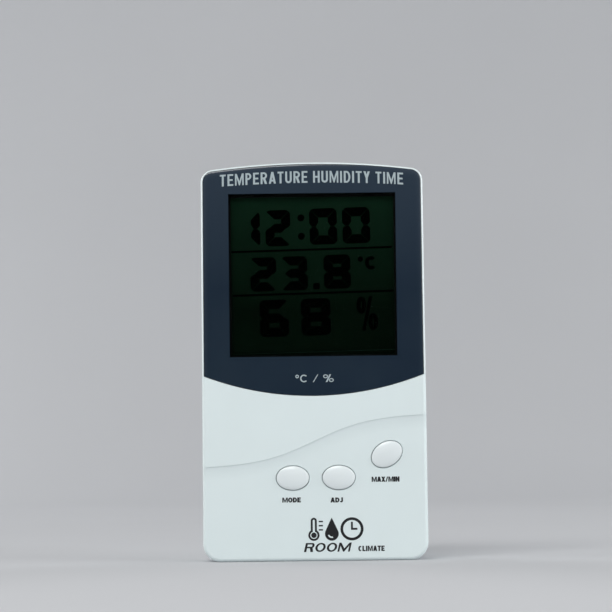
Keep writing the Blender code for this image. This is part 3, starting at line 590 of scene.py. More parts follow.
MATERIALS = (
    (moulded, "white_abs", (0.745, 0.835, 0.845), 0.012, 0.36, 0.35, 0.006),
    (moulded, "white_abs_back", (0.735, 0.820, 0.830), 0.014, 0.46, 0.45, 0.035),
    (moulded, "button_white", (0.775, 0.835, 0.850), 0.010, 0.20, 0.30, 0.003, 0.03),
    (slate_surface, "slate_lens"),
    (window_surface, "clear_window"),
    (clear_back_surface, "clear_window_back"),
    (lcd_surface, "lcd_glass"),
    (printed, "segment_black", (0.0003, 0.0012, 0.0006), 0.6, 0),
    # The film's edge line is not ink: it is a painted highlight, made with the ink surface.
    (printed, "film_edge", (0.012, 0.040, 0.026), 0.5, 0.1),
    # The display's black frame below is also painted shadow round the view.
    (moulded, "gasket_foam", (0.0035, 0.0035, 0.004), 0.20, 0.85, 0.25, 0.08),
    (printed, "ink_grey", (0.42, 0.50, 0.53), 0.42),
    (printed, "ink_black", (0.006, 0.007, 0.009), 0.40),
    (metal, "reflector_film", (0.62, 0.65, 0.63), 0.30, (1, 1, 8)),
    (moulded, "grey_plastic", (0.62, 0.64, 0.62), 0.02, 0.45, 0.4, 0.02),
    (zebra_surface, "zebra_rubber"),
    (board_surface, "board_green"),
    (moulded, "black_epoxy", (0.012, 0.012, 0.013), 0.15, 0.32, 1.5, 0.05),
    (metal, "tinned_steel", (0.66, 0.66, 0.64), 0.26, (1, 6, 1)),
    (moulded, "dark_plastic", (0.03, 0.03, 0.035), 0.10, 0.50, 0.4, 0.02),
    (metal, "buzzer_brass", (0.76, 0.56, 0.24), 0.28, (1, 1, 5)),
    (battery_surface, "battery_wrap"),
    (moulded, "red_insulation", (0.50, 0.025, 0.02), 0.06, 0.42, 0.3, 0.01),
    (moulded, "black_insulation", (0.018, 0.018, 0.018), 0.10, 0.42, 0.3, 0.01),
)
for make, name, *values in MATERIALS:
    make(name, *values)


# ---- case

def edge_rings(radius, face_y, out):
    """Rings round the case's outer edge: (inset, y) pairs from the face to the straight side."""
    return [(radius * fall, face_y - out * radius * rise) for rise, fall in quarter(8)]


def front_blank():
    """The outer form of the front shell, whose edge follows the wave step."""
    rings = [at_depth(case_outline(FACE_EDGE_RADIUS), FACE_Y - 1)]
    for inset, y in edge_rings(FACE_EDGE_RADIUS, FACE_Y, -1):
        rings.append([(x, y + wave_depth(x, z), z) for x, z in case_outline(inset)])
    for inset, back in ((0, 0.25), (0.06, 0.08), (0.25, 0)):
        rings.append(at_depth(case_outline(inset), PARTING_FRONT_Y - back))
    return loft("front_case", rings)


def face_cutter():
    """Everything in front of the face: flat above the wave, a soft step and slope below it."""
    steps = [0, 0.06, 0.12, 0.18, 0.25, 0.32, 0.38, 0.44, 0.5, 0.8, 1.2, 1.6, 2.1, 2.6, 3.2, 3.9, 4.6]
    front, top, foot = FACE_Y - 3, 130, -3
    rings = []
    for column in range(149):
        x = -37 + 0.5 * column
        ring = [(x, front, top), (x, FACE_Y + SKIM, top)]
        for below in steps:
            z = wave_z(x) - below
            ring.append((x, FACE_Y + SKIM + wave_depth(x, z), z))
        rings.append(ring + [(x, LOWER_FACE_Y, foot), (x, front, foot)])
    return loft("face_cutter", rings)


def boss(name, radius, hole, y_high, hole_floor_y, x, z):
    """A round post behind the front wall, with a blind hole in its back end."""
    y_low = INNER_FRONT_Y - 0.1
    profile = [(0, hole_floor_y - y_low), (hole, hole_floor_y - y_low), (hole, y_high - y_low),
               (radius, y_high - y_low), (radius, 0), (0, 0)]
    return seated(turned(name, profile, 32), x, y_low, z, TO_BACK)


def screw_places(kind):
    """The nodes and places of the case's or the board's screws."""
    nodes = sorted(node for node in frame["nodes"] if node.startswith(kind))
    return [(node, middle(node).x, middle(node).z) for node in nodes]


def button_hole(name, tilt):
    centre = middle(name + "_button")

    def outline(grow):
        gap = BUTTON_HOLE_GAP + grow
        return oval_outline(centre.x, centre.z, BUTTON_HALF_WIDTH + gap, BUTTON_HALF_HEIGHT + gap, tilt)
    return cut(flared("hole_" + name, outline, INNER_FRONT_Y + 1, LOWER_FACE_Y, 0.2))


def front_case():
    """The front shell: wave step, rebate and window for the lens, lip, button holes and posts."""
    shell = front_blank()
    lip_y = PARTING_FRONT_Y - 2.35
    lip_rows = [(WALL + 0.3, lip_y + 0.5), (WALL + 0.3, PARTING_FRONT_Y + 1.55),
                (WALL + 0.5, PARTING_FRONT_Y + 1.75)]
    hollow_top = LENS_FOOT_Z - 3
    hollow = box_outline(0, hollow_top / 2 + 1.2, CASE_HALF_WIDTH - 2.5, hollow_top / 2 - 1.3, 3)
    opening = box_outline(0, WINDOW_Z, WINDOW_HALF_WIDTH + 0.8, WINDOW_HALF_HEIGHT + 0.8, 0.5)
    steps = [
        cut(face_cutter()),
        join(stacked("lip", case_outline, lip_rows)),
        cut(prism("cavity", case_outline(WALL), LENS_FLOOR_BACK_Y, lip_y)),
        cut(prism("lip_hole", case_outline(WALL + 1.1), lip_y - 1, PARTING_FRONT_Y + 3)),
        cut(prism("lower", hollow, INNER_FRONT_Y, LENS_FLOOR_BACK_Y + 0.5)),
        cut(flared("rebate", lambda grow: lens_outline(LENS_RIM - 0.4 * grow, -grow),
                   LENS_FLOOR_Y, FACE_Y, 0.3)),
        cut(prism("window", opening, LENS_FLOOR_Y - 1, LENS_FLOOR_BACK_Y + 1))]
    steps += [button_hole(name, tilt) for name, tilt in BUTTONS.items()]
    board_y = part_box("main_board")[0].y / MM
    for node, x, z in screw_places("case_screw"):
        steps.append(join(boss("post_" + node, 2.8, 1.4, 6.7, -1, x, z)))
    for node, x, z in screw_places("board_screw"):
        steps.append(join(boss("post_" + node, 2.5, 1.2, board_y - 0.3, -8, x, z)))
    finish_piece(cut_and_join(shell, steps), "white_abs", "white_abs", "front_shell")


def back_case():
    """The back shell, with its recess, battery bay, keyhole, screw wells and small openings."""
    rows = [(0.25, BACK_LOW.y), (0.06, BACK_LOW.y + 0.17), (0, BACK_LOW.y + 0.35)]
    rows += reversed(edge_rings(BACK_EDGE_RADIUS, BACK_Y, 1))
    shell = stacked("back_case", case_outline, rows)
    steps = [cut(prism("back_cavity", case_outline(WALL), BACK_LOW.y - 1, INNER_BACK_Y))]
    steps += recess_steps() + bay_steps() + keyhole_steps()
    for node, x, z in screw_places("case_screw"):
        steps += [join(rod("well_" + node, 4.2, 7, BACK_Y - 1, x, z)),
                  oval_cut("well_bore_" + node, x, z, 2.8, 9, BACK_Y, 0.35, 40),
                  cut(rod("well_hole_" + node, 1.4, 6, 10, x, z, 24))]
    steps += opening_steps()
    finish_piece(cut_and_join(shell, steps), "white_abs", "white_abs_back", "back_shell")


def hinge_rod(name, radius, reach):
    """A rod of radius on the stand's axis, reaching as far to each side."""
    profile = [(0, reach), (radius, reach), (radius, -reach), (0, -reach)]
    return seated(turned(name, profile, 32), 0, HINGE_Y, HINGE_Z, TO_RIGHT)


def recess_steps():
    """The pocket that the stand folds into, and the eyes for its pins."""
    half, top, wall = RECESS_HALF, RECESS_TOP_Z, 1.6
    floor = RECESS_FLOOR_Y - wall
    side = half + wall
    steps = [join(box("recess_walls", (-side, floor, 1), (side, BACK_Y - 1, top + wall)))]
    for centre in (-half - 2.3, half + 2.3):
        steps.append(join(box("recess_eye", (centre - wall, floor - 0.2, 49),
                              (centre + wall, BACK_Y - 0.5, top + 1))))
    z = (RECESS_FOOT_Z + top) / 2
    return steps + [box_cut("recess", 0, z, half, top - z, 0.8, RECESS_FLOOR_Y, BACK_Y, 0.35),
                    cut(hinge_rod("recess_pin_hole", 1.5, half + 2.4))]


def bay_steps():
    """The battery bay, the door's rebate, the contact tabs' slots and the thumb scoop."""
    z = (DOOR_LOW.z + DOOR_HIGH.z) / 2
    long, high = BAY_HALF_LENGTH, BAY_HALF_HEIGHT
    steps = [join(box("bay_" + name, (-long - side, front_y, z - high - rise),
                      (long + side, BACK_Y - 1, z + high + rise)))
             for name, side, rise, front_y in (("walls", 1.2, 1.2, -1.6), ("flange", 3, 3.7, 8.6))]
    steps += [cut(prism("bay", box_outline(0, z, long, high, 0.6), -0.9, BACK_Y + 1)),
              box_cut("door_rebate", 0, z, DOOR_HIGH.x + 0.25, DOOR_HIGH.z - z + 0.25, 1.5,
                      DOOR_LOW.y - 0.3, BACK_Y, 0.2)]
    for slot_x in (-long - 0.7, long + 0.7):
        steps.append(cut(box("tab_slot", (slot_x - 1, 2.8, z - 1.8), (slot_x + 1, 4.2, z + 1.8))))
    return steps + [cut(scoop(0, DOOR_HIGH.z))]


def scoop(x, z):
    """A shallow round dish in the back, where a thumb reaches the door's edge."""
    dish_radius, depth = 6, 1.3
    ball = (dish_radius ** 2 + depth ** 2) / (2 * depth)
    mouth = dish_radius * 1.25
    rows = [(mouth, BACK_Y + 3)]
    for step in range(8):
        radius = mouth * (1 - step / 8)
        rows.append((radius, BACK_Y + ball - depth - sqrt(ball ** 2 - radius ** 2)))
    return stacked("scoop", lambda size: oval_outline(x, z, size, size, steps=48), rows)


def keyhole_steps():
    return [join(box("keyhole_walls", (-7, 4.8, 101), (7, BACK_Y - 1, 120))),
            cut(box("keyhole_pocket", (-5.5, 6.2, 102.5), (5.5, INNER_BACK_Y, 118.5))),
            cut(flared("keyhole", keyhole_outline, INNER_BACK_Y - 0.5, BACK_Y, 0.3))]


def opening_steps():
    """Sensor vents, the sounder's ring and holes, and the unit button's hole."""
    sounder, unit = middle("buzzer_disc"), middle("unit_button")
    vent_x, vent_pitch = middle("humidity_sensor").x + 4, 3.2
    floor_y = INNER_BACK_Y - 1
    steps = []
    for row in range(5):
        z = sounder.z + (row - 2) * vent_pitch
        steps.append(box_cut("vent_%d" % row, vent_x, z, 10, 0.8, 0.75, floor_y, BACK_Y, 0.25))
    outer, inner, front, back = 9.3, 8.3, 8.6, BACK_Y - 1
    profile = [(inner, back), (outer, back), (outer, front), (inner, front), (inner, back)]
    steps.append(join(seated(turned("sounder_ring", profile, 48), sounder.x, 0, sounder.z, TO_BACK)))
    for index, (x, z) in enumerate(arc(sounder.x, sounder.z, 4, 90, 390, 5), 1):
        steps.append(oval_cut("sound_hole_%d" % index, x, z, 0.8, floor_y, BACK_Y, 0.15, 24))
    steps.append(oval_cut("unit_hole", unit.x, unit.z, 2.7, floor_y, BACK_Y, 0.2, 48))
    return steps


# ---- display

def display_lens():
    """One acrylic plate with a rounded front edge: slate round a clear window."""
    inset = LENS_RIM + LENS_GAP
    edge_width, foot_edge, edge_depth = 2.4, 0.15, 0.36
    rows = [(fall, LENS_LOW.y + edge_depth * rise) for rise, fall in quarter(10)]
    lens = stacked("lens", lambda size: lens_outline(
        inset + edge_width * size, LENS_GAP + foot_edge * size), rows + [(0, LENS_HIGH.y)])
    shape = bmesh.new()
    shape.from_mesh(lens.data)
    planes = [((x, 0, 0), (1, 0, 0)) for x in (-WINDOW_HALF_WIDTH, WINDOW_HALF_WIDTH)]
    planes += [((0, 0, z), (0, 0, 1)) for z in (WINDOW_FOOT_Z, WINDOW_TOP_Z)]
    for place, normal in planes:
        bmesh.ops.bisect_plane(shape, geom=shape.verts[:] + shape.edges[:] + shape.faces[:],
                               plane_co=Vector(place) * MM, plane_no=normal)
    for face in shape.faces:
        centre = face.calc_center_median() / MM
        if abs(centre.x) < WINDOW_HALF_WIDTH and WINDOW_FOOT_Z < centre.z < WINDOW_TOP_Z:
            face.material_index = 1 if centre.y < (LENS_LOW.y + LENS_HIGH.y) / 2 else 2
    shape.to_mesh(lens.data)
    shape.free()
    indexes = [polygon.material_index for polygon in lens.data.polygons]
    finish_piece(lens, "slate_lens", "slate_lens", "display_lens")
    lens.data.materials.append(SURFACES["clear_window"])
    lens.data.materials.append(SURFACES["clear_window_back"])
    for polygon, index in zip(lens.data.polygons, indexes):
        polygon.material_index = index


def display_frame_and_shadow():
    """A black foam frame between the lens and the display, which borders the view. It is also painted
    shadow: its band stands where the window's edge shades the display, and it is widest at the top.
    """
    outer = box_outline(0, WINDOW_Z, WINDOW_HALF_WIDTH + 0.6, WINDOW_HALF_HEIGHT + 0.6, 0.4)
    # The inner edge sits lower, so the band is widest at the top: painted shadow from the window's
    # upper edge.
    inner = box_outline(0, WINDOW_Z - 0.2, WINDOW_HALF_WIDTH - 0.6, WINDOW_HALF_HEIGHT - 0.75, 0.15)
    gasket = plate("display_frame_and_shadow", [outer, inner], LENS_FLOOR_Y + 0.05, LENS_FLOOR_BACK_Y + 0.1)
    finish_piece(gasket, "dark_plastic", "gasket_foam")


def inked(name, outlines, ground_y):
    """Flat shapes printed on a ground."""
    return plate(name, outlines, ground_y - INK, ground_y + INK_ROOT)


def askew(obj):
    """Turns a piece of the display about the window's centre, as the real one sits."""
    centre = Vector((0, 0, WINDOW_Z)) * MM
    turn = Matrix.Rotation(radians(-LCD_TILT), 4, "Y")
    obj.data.transform(Matrix.Translation(centre) @ turn @ Matrix.Translation(-centre))
    return obj


SEGMENTS_OF = {"0": "abcdef", "1": "bc", "2": "abged", "3": "abgcd", "6": "acdefg", "8": "abcdefg"}


def digit(text, x, z, width, height, stroke):
    """The seven-segment outlines of one digit whose lower left corner is at x, z."""
    gap, corner, half = 0.05, 1.7, height / 2
    upright = arc(corner, corner, corner, 224, 180, 6)
    upright += [(0, half - 0.35 * stroke), (0.30 * stroke, half - gap), (0.70 * stroke, half - gap),
                (stroke, half - 0.5 * stroke), (stroke, stroke + 2 * gap)]
    flat = arc(corner, corner, corner, 226, 270, 6)
    flat += arc(width - corner, corner, corner, 270, 314, 6)
    flat += [(width - stroke - 2 * gap, stroke), (stroke + 2 * gap, stroke)]
    tip, end = 0.45 * stroke, stroke + gap
    bar = [(tip, half), (end, half + 0.5 * stroke), (width - end, half + 0.5 * stroke),
           (width - tip, half), (width - end, half - 0.5 * stroke), (end, half - 0.5 * stroke)]
    shapes = {"a": (flat, False, True), "d": (flat, False, False), "g": (bar, False, False),
              "e": (upright, False, False), "f": (upright, False, True),
              "c": (upright, True, False), "b": (upright, True, True)}
    outlines = []
    for key in SEGMENTS_OF[text]:
        points, flip_x, flip_z = shapes[key]
        outlines.append([(x + (width - px if flip_x else px), z + (height - pz if flip_z else pz))
                         for px, pz in points])
    return outlines


def display_content():
    """Three rows of readings, two dividing lines and the unit signs, as dark shapes."""
    shapes = []
    for text, x, z, width, height in (
            ("1", -22.5, 99.1, 6.4, 11.4), ("2", -14.4, 99.1, 7.9, 11.4), ("0", -0.5, 99.2, 8.7, 11.4),
            ("0", 9.9, 99.2, 8.7, 11.4),
            ("2", -19.6, 85, 8.2, 10.7), ("3", -9.9, 85, 8.3, 10.7), ("8", 3.6, 85.1, 8.4, 10.7),
            ("6", -17, 70.6, 9, 11.6), ("8", -4, 70.6, 9.2, 11.6)):
        shapes += digit(text, x, z, width, height, LCD_ROW_STROKE)
    shapes += [oval_outline(-3.1, z, 1.1, 1.1, steps=20) for z in (107.8, 102)]
    shapes.append(box_outline(1.1, 86.1, 1, 1, 0.4))
    shapes += [box_outline(0, z, 25.3, 0.3, 0.1) for z in (97.7, 83.9)]
    shapes += text_outlines("°C", (17.3, 92.9), 5.8, 4.2, 1.15, 1.05)
    shapes += text_outlines("%", (16.8, 77), 6.6, 10.6, 1.9, 1.9)
    content = askew(inked("lcd_segments", shapes, LCD_LOW.y))
    finish_piece(content, "lcd_glass", "segment_black")


def display_glass():
    """Two glass plates with a polariser film on the front one, and a painted highlight along the film's
    lower edge.
    """
    half_width = LCD_HIGH.x - 0.1
    half_height = (LCD_HIGH.z - LCD_LOW.z) / 2 - 0.1
    centre_z, split_y = (LCD_LOW.z + LCD_HIGH.z) / 2, (LCD_LOW.y + LCD_HIGH.y) / 2
    rings = []
    for inset, foot_lift, y in (
            (0.1, 0, LCD_HIGH.y), (0, 0, LCD_HIGH.y - 0.1), (0, 0, split_y),
            (0.4, 1.6, split_y), (0.4, 1.6, LCD_LOW.y + 0.3),
            (0.9, 3.4, LCD_LOW.y + 0.3), (0.9, 3.4, LCD_LOW.y + 0.05), (0.95, 3.4, LCD_LOW.y)):
        rings.append(at_depth(box_outline(0, centre_z + foot_lift / 2, half_width - inset,
                                          half_height - inset - foot_lift / 2, 0.3), y))
    finish_piece(loft("lcd_glass", rings), "lcd_glass", "lcd_glass", "lcd_panel")
    # A thin lighter line at the foot of the polariser film: a painted highlight where the film's edge
    # catches light.
    edge = inked("lcd_film_edge", [box_outline(0, 65.4, 26, 0.09, 0.03)], LCD_LOW.y)
    finish_piece(askew(edge), "lcd_glass", "film_edge")


# ---- lettering and signs

# Widths of the letters as shares of their height. An I is as wide as a stem.
GLYPH_WIDTHS = {
    "A": 1, "C": 0.92, "D": 0.94, "E": 0.82, "H": 0.94, "I": 0, "J": 0.70, "L": 0.78, "M": 1.24,
    "N": 0.96, "O": 1.02, "P": 0.84, "R": 0.92, "T": 0.84, "U": 0.92, "X": 0.94, "Y": 0.92,
    "/": 0.66, "%": 1.25, "°": 0.42, " ": 0.30}


def ring(x, z, half_width, half_height, stem, bar, steps=32):
    return [oval_outline(x, z, half_width, half_height, steps=steps),
            oval_outline(x, z, half_width - stem, half_height - bar, steps=steps)]


def even(w, right):
    """A letter w wide from its right half, whose points run from the foot to the top."""
    return [right + [(w - x, z) for x, z in reversed(right) if x > w / 2 + 0.001]]


def straight_glyph(letter, w, h, s, b):
    """Letters with straight edges only: w wide and h high, with stems s and bars b thick."""
    mid, low, high = w / 2, (h - b) / 2, (h + b) / 2
    if letter == "I":
        return even(w, [(w, 0), (w, h)])
    if letter == "L":
        return [[(0, 0), (w, 0), (w, b), (s, b), (s, h), (0, h)]]
    if letter == "T":
        side = mid + s / 2
        return even(w, [(side, 0), (side, h - b), (w, h - b), (w, h)])
    if letter == "E":
        return [[(0, 0), (w, 0), (w, b), (s, b), (s, low), (0.9 * w, low), (0.9 * w, high),
                 (s, high), (s, h - b), (w, h - b), (w, h), (0, h)]]
    if letter == "H":
        return even(w, [(w - s, low), (w - s, 0), (w, 0), (w, h), (w - s, h), (w - s, high)])
    if letter == "M":
        s *= 0.80
        foot, shoulder = 0.3 * s, 0.68 * h
        dip = max(0.36 * h, h - (mid - 1.15 * s) * shoulder / (mid - s - foot))
        return even(w, [(mid + foot, 0), (w - s, shoulder), (w - s, 0), (w, 0), (w, h),
                        (w - 1.15 * s, h), (mid, dip)])
    if letter == "N":
        rise = 1.75 * s
        return [[(0, 0), (s, 0), (s, h - rise), (w - s, 0), (w, 0), (w, h), (w - s, h),
                 (w - s, rise), (s, h), (0, h)]]
    if letter == "X":
        leg = 1.02 * s
        cross = h * (w - 2 * leg) / (2 * (w - leg))
        return even(w, [(mid, cross), (w - leg, 0), (w, 0), (mid + leg / 2, h / 2), (w, h),
                        (w - leg, h), (mid, h - cross)])
    if letter == "Y":
        side, fork = mid + s / 2, h - (mid - 1.15 * s) * 0.58 * h / (mid - s / 2)
        return even(w, [(side, 0), (side, 0.42 * h), (w, h), (w - 1.15 * s, h), (mid, fork)])
    if letter == "/":
        return [[(0, 0), (0.7 * s, 0), (w, h), (w - 0.7 * s, h)]]
    lean = (mid - 0.55 * s) / h
    foot, below, above = 1.08 * s, 0.19 * h, 0.19 * h + b
    apex, inner = (mid - foot) / lean, foot + lean * above
    body = even(w, [(w - foot - lean * below, below), (w - foot, 0), (w, 0), (mid + 0.55 * s, h)])
    hole = [(inner, above), (w - inner, above), (mid, apex)]
    return body + [hole] if apex > above + 0.1 * h else body


def round_glyph(letter, w, h, s, b):
    """Letters and signs with curved strokes."""
    mid = w / 2
    if letter == "O":
        return ring(mid, h / 2, mid, h / 2, s, b, 64)
    if letter == "C":
        return [oval_arc(mid, h / 2, mid, h / 2, 42, 318, 32)
                + oval_arc(mid, h / 2, mid - s, h / 2 - b, 312, 48, 32)]
    if letter == "D":
        left, reach = 0.42 * w, 0.58 * w
        return [[(0, 0)] + oval_arc(left, h / 2, reach, h / 2, -90, 90, 24) + [(0, h)],
                [(s, b)] + oval_arc(left, h / 2, reach - s, h / 2 - b, -90, 90, 24) + [(s, h - b)]]
    if letter == "U":
        return [[(0, h)] + arc(mid, mid, mid, 180, 360, 16) + [(w, h), (w - s, h)]
                + arc(mid, mid, mid - s, 360, 180, 16) + [(s, h)]]
    if letter == "J":
        return [[(w, h), (w - s, h)] + arc(mid, mid, mid - s, 0, -165, 16)
                + arc(mid, mid, mid, -165, 0, 16)]
    if letter == "°":
        return ring(mid, h - mid, mid, mid, 0.75 * s, 0.75 * s)
    if letter == "%":
        upper, lower = [ring(x * w, z * h, 0.23 * w, 0.25 * h, 0.7 * s, 0.7 * s)
                        for x, z in ((0.23, 0.75), (0.77, 0.25))]
        return upper + lower + [[(0.24 * w, 0), (0.40 * w, 0), (0.76 * w, h), (0.60 * w, h)]]
    bowl = 0.29 * h
    reach, waist = w - bowl, h - 2 * bowl
    inner = oval_arc(reach, h - bowl, bowl - s, bowl - b, -90, 90, 20)
    hole = [(s, waist + b)] + inner + [(s, h - b)]
    stem = [(0, 0), (s, 0), (s, waist)]
    if letter == "R":
        curve = arc(reach, h - bowl, bowl, -62, 90, 18)
        stem += [(curve[0][0] - 1.15 * s, waist), (w - 1.2 * s, 0), (w, 0)]
    else:
        curve = arc(reach, h - bowl, bowl, -90, 90, 20)
    return [stem + curve + [(0, h)], hole]


def text_outlines(text, centre, width, height, stem, bar, gap=0.15, arc_radius=0, slant=0):
    """Bold capitals set to a width, centred at (x, z), with gaps given as a share of the height."""
    fixed = stem * text.count("I")
    gaps = gap * height * (len(text) - 1)
    natural = sum(GLYPH_WIDTHS[letter] for letter in text) * height
    squeeze = (width - fixed - gaps) / natural
    cursor, outlines = centre[0] - width / 2, []
    for letter in text:
        wide = stem if letter == "I" else GLYPH_WIDTHS[letter] * height * squeeze
        draw = round_glyph if letter in "OCDUJPR°%" else straight_glyph
        for outline in [] if letter == " " else draw(letter, wide, height, stem, bar):
            placed = []
            for px, pz in outline:
                x = cursor + px + slant * (pz - height / 2)
                z = centre[1] - height / 2 + pz
                if arc_radius:
                    z -= (x - centre[0]) ** 2 / (2 * arc_radius)
                placed.append((x, z))
            outlines.append(placed)
        cursor += wide + gap * height
    return outlines


def printing():
    """The title and unit signs on the lens, and the labels and signs on the lower face."""
    title = text_outlines("TEMPERATURE HUMIDITY TIME", (0, 120.35), 57.6, 3.7, 0.60, 0.54,
                          arc_radius=450)
    units = text_outlines("°C / %", (0.2, 57), 12, 2.4, 0.42, 0.38)
    for name, outlines in (("print_title", title), ("print_units", units)):
        finish_piece(inked(name, outlines, LENS_LOW.y), "slate_lens", "ink_grey")
    outlines = text_outlines("MODE", (-7.45, 19.1), 5.8, 1.55, 0.50, 0.40, 0.05)
    outlines += text_outlines("ADJ", (6.65, 18.95), 3.9, 1.55, 0.50, 0.40, 0.05)
    outlines += text_outlines("MAX/MIN", (22, 25.25), 8.7, 1.6, 0.50, 0.40, 0.03)
    outlines += text_outlines("ROOM", (3.7, 4.25), 14.3, 2.8, 0.70, 0.46, slant=0.24)
    outlines += text_outlines("CLIMATE", (17.3, 3.75), 8.2, 1.65, 0.46, 0.38, 0.08)
    outlines += thermometer_sign(-0.6, 9.9) + drop_sign(5, 9.9) + clock_sign(11.3, 9.9)
    finish_piece(inked("print_labels", outlines, LOWER_FACE_Y), "white_abs", "ink_black")


SIGN_HALF = 3.6                # half the height of the printed signs


def thermometer_sign(x, z):
    """A glass tube over a round bulb, with a line of liquid, and three marks beside it."""
    bulb, tube, thin = 1.75, 0.95, 0.62
    foot, top = z - SIGN_HALF + bulb, z + SIGN_HALF - tube
    outlines = []
    for inset in (0, thin):
        meet = degrees(acos((tube - inset) / (bulb - inset)))
        outlines.append(arc(x, foot, bulb - inset, 180 - meet, 360 + meet, 28)
                        + arc(x, top, tube - inset, 0, 180, 12))
    fluid = oval_outline(x, foot, 0.85, 0.85, steps=24)
    marks = [box_outline(x + 2.2, z + 2.4 - 1.3 * row, 0.65, 0.22, 0.05) for row in range(3)]
    return outlines + [fluid] + marks


def drop_sign(x, z):
    """A full drop with a curved light in it."""
    radius = 2.15
    foot = z - SIGN_HALF + radius
    points = arc(x, foot, radius, 160, 380, 30)
    points += [(x + px, foot + pz) for px, pz in
               ((1.35, 2.2), (0.55, 3.9), (0, 5), (-0.55, 3.9), (-1.35, 2.2))]
    return [points, arc(x, foot, 1.3, 200, 290, 10) + arc(x, foot, 0.85, 290, 200, 10)]


def clock_sign(x, z):
    """A ring with two hands."""
    half, long, short = 0.3, 2.2, 1.7
    hands = [(x - half, z - half), (x + short, z - half), (x + short, z + half), (x + half, z + half),
             (x + half, z + long), (x - half, z + long)]
    return [oval_outline(x, z, SIGN_HALF, SIGN_HALF, steps=56),
            oval_outline(x, z, 2.75, 2.75, steps=48), hands]


# ---- buttons

def front_buttons():
    """Domed oval caps, each with a flange behind the wall and a stem to its switch."""
    flange_y = INNER_FRONT_Y + FLANGE_GAP
    flange_back_y = flange_y + FLANGE_THICKNESS
    for name, tilt in BUTTONS.items():
        low, high = span(name + "_button")
        centre = (low + high) / 2
        rows = []
        for step in range(15):
            turn = radians(6 + 84 * step / 14)
            share = sin(turn) ** 0.95
            rows.append((share, low.y + 0.5 * share ** 2 + 0.35 * (1 - cos(turn) ** 0.8)))
        rows += [(1, flange_y), (1.2, flange_y), (1.2, flange_back_y),
                 (0.34, flange_back_y), (0.34, high.y)]
        cap = stacked(name + "_cap", lambda size: oval_outline(
            centre.x, centre.z, size * (BUTTON_HALF_WIDTH + BUTTON_SPREAD),
            size * (BUTTON_HALF_HEIGHT + BUTTON_SPREAD), tilt), rows)
        finish_piece(cap, "button_white", "button_white", name + "_button", body=name + "_key")


def unit_cap():
    """A small round cap with a dished face."""
    low, high = span("unit_button")
    centre = (low + high) / 2
    radius, edge, flange_y = 2.5, 0.3, INNER_BACK_Y - FLANGE_GAP
    flange_front_y = flange_y - FLANGE_THICKNESS
    rows = [(0.6, high.y - 0.25), (1.4, high.y - 0.18), (1.9, high.y), (2.2, high.y - 0.02)]
    rows += [(radius - edge * fall, high.y - edge * rise) for rise, fall in quarter(5)[1:]]
    rows += [(radius, flange_y), (radius + 1, flange_y), (radius + 1, flange_front_y),
             (1.5, flange_front_y), (1.5, low.y)]
    cap = stacked("unit_cap", lambda size: oval_outline(centre.x, centre.z, size, size, steps=48), rows)
    finish_piece(cap, "button_white", "button_white", "unit_button", body="unit_key")


# ---- back pieces

def battery_door():
    """The cover with its rounded edge, and four grooves that point to the scoop."""
    z = (DOOR_LOW.z + DOOR_HIGH.z) / 2
    half_height = (DOOR_HIGH.z - DOOR_LOW.z) / 2
    edge = 0.35
    rows = [(0.15, DOOR_LOW.y), (0, DOOR_LOW.y + 0.15)]
    rows += [(edge * rise, DOOR_HIGH.y - edge * fall) for rise, fall in quarter(5)]
    door = stacked("door", lambda inset: box_outline(
        0, z, DOOR_HIGH.x - inset, half_height - inset, 1.4 - inset), rows)
    steps = [box_cut("groove_%d" % row, 0, DOOR_HIGH.z - 2 - 1.5 * row, 5 - 0.8 * row, 0.25, 0.2,
                     BACK_Y - 0.4, BACK_Y, 0.15) for row in range(4)]
    door = cut_and_join(door, steps)
    finish_piece(door, "white_abs", "white_abs_back", "battery_door", body="battery_cover")


def stand_leg():
    """The fold-out leg: rounded, with a thinner ribbed panel, a knuckle, pins and a stop."""
    half, edge = 14.7, 0.5
    foot_z, front_y, back_y = STAND_LOW.z, STAND_LOW.y, 11.6
    centre_z = (HINGE_Z + foot_z) / 2
    rows = [(edge * fall, front_y + edge * rise) for rise, fall in quarter(5)]
    rows += [(edge * rise, back_y - edge * fall) for rise, fall in quarter(5)]
    leg = stacked("stand_leg", lambda inset: box_outline(
        0, centre_z, half - inset, HINGE_Z - centre_z - inset, 2.5 - inset), rows)
    steps = [oval_cut("finger_notch", 0, foot_z - 1, 5, front_y - 1, back_y, 0.4, 64),
             box_cut("panel", 0, centre_z, half - 4.2, 15, 2, back_y - 1.2, back_y, 0.3)]
    for row in range(5):
        rib = box_outline(0, centre_z - 10 + 5 * row, half - 4, 0.45, 0.1)
        steps.append(join(prism("rib_%d" % row, rib, back_y - 1.4, back_y - 0.7)))
    stop = box("stop", (-6, HINGE_Y - 0.6, HINGE_Z - 1), (6, HINGE_Y + 0.6, HINGE_Z + 2.6))
    steps += [join(hinge_rod("knuckle", 1.8, half - 0.1)), join(hinge_rod("pins", 1.2, STAND_HIGH.x)),
              join(stop)]
    finish_piece(cut_and_join(leg, steps), "white_abs", "white_abs_back", "stand", body="stand")


def cross_outline(x, z, arm, half):
    points = []
    for turn in range(4):
        spin = Matrix.Rotation(radians(90 * turn), 2)
        for corner in ((arm, -half), (arm, half), (half, half)):
            place = spin @ Vector(corner)
            points.append((x + place.x, z + place.y))
    return points


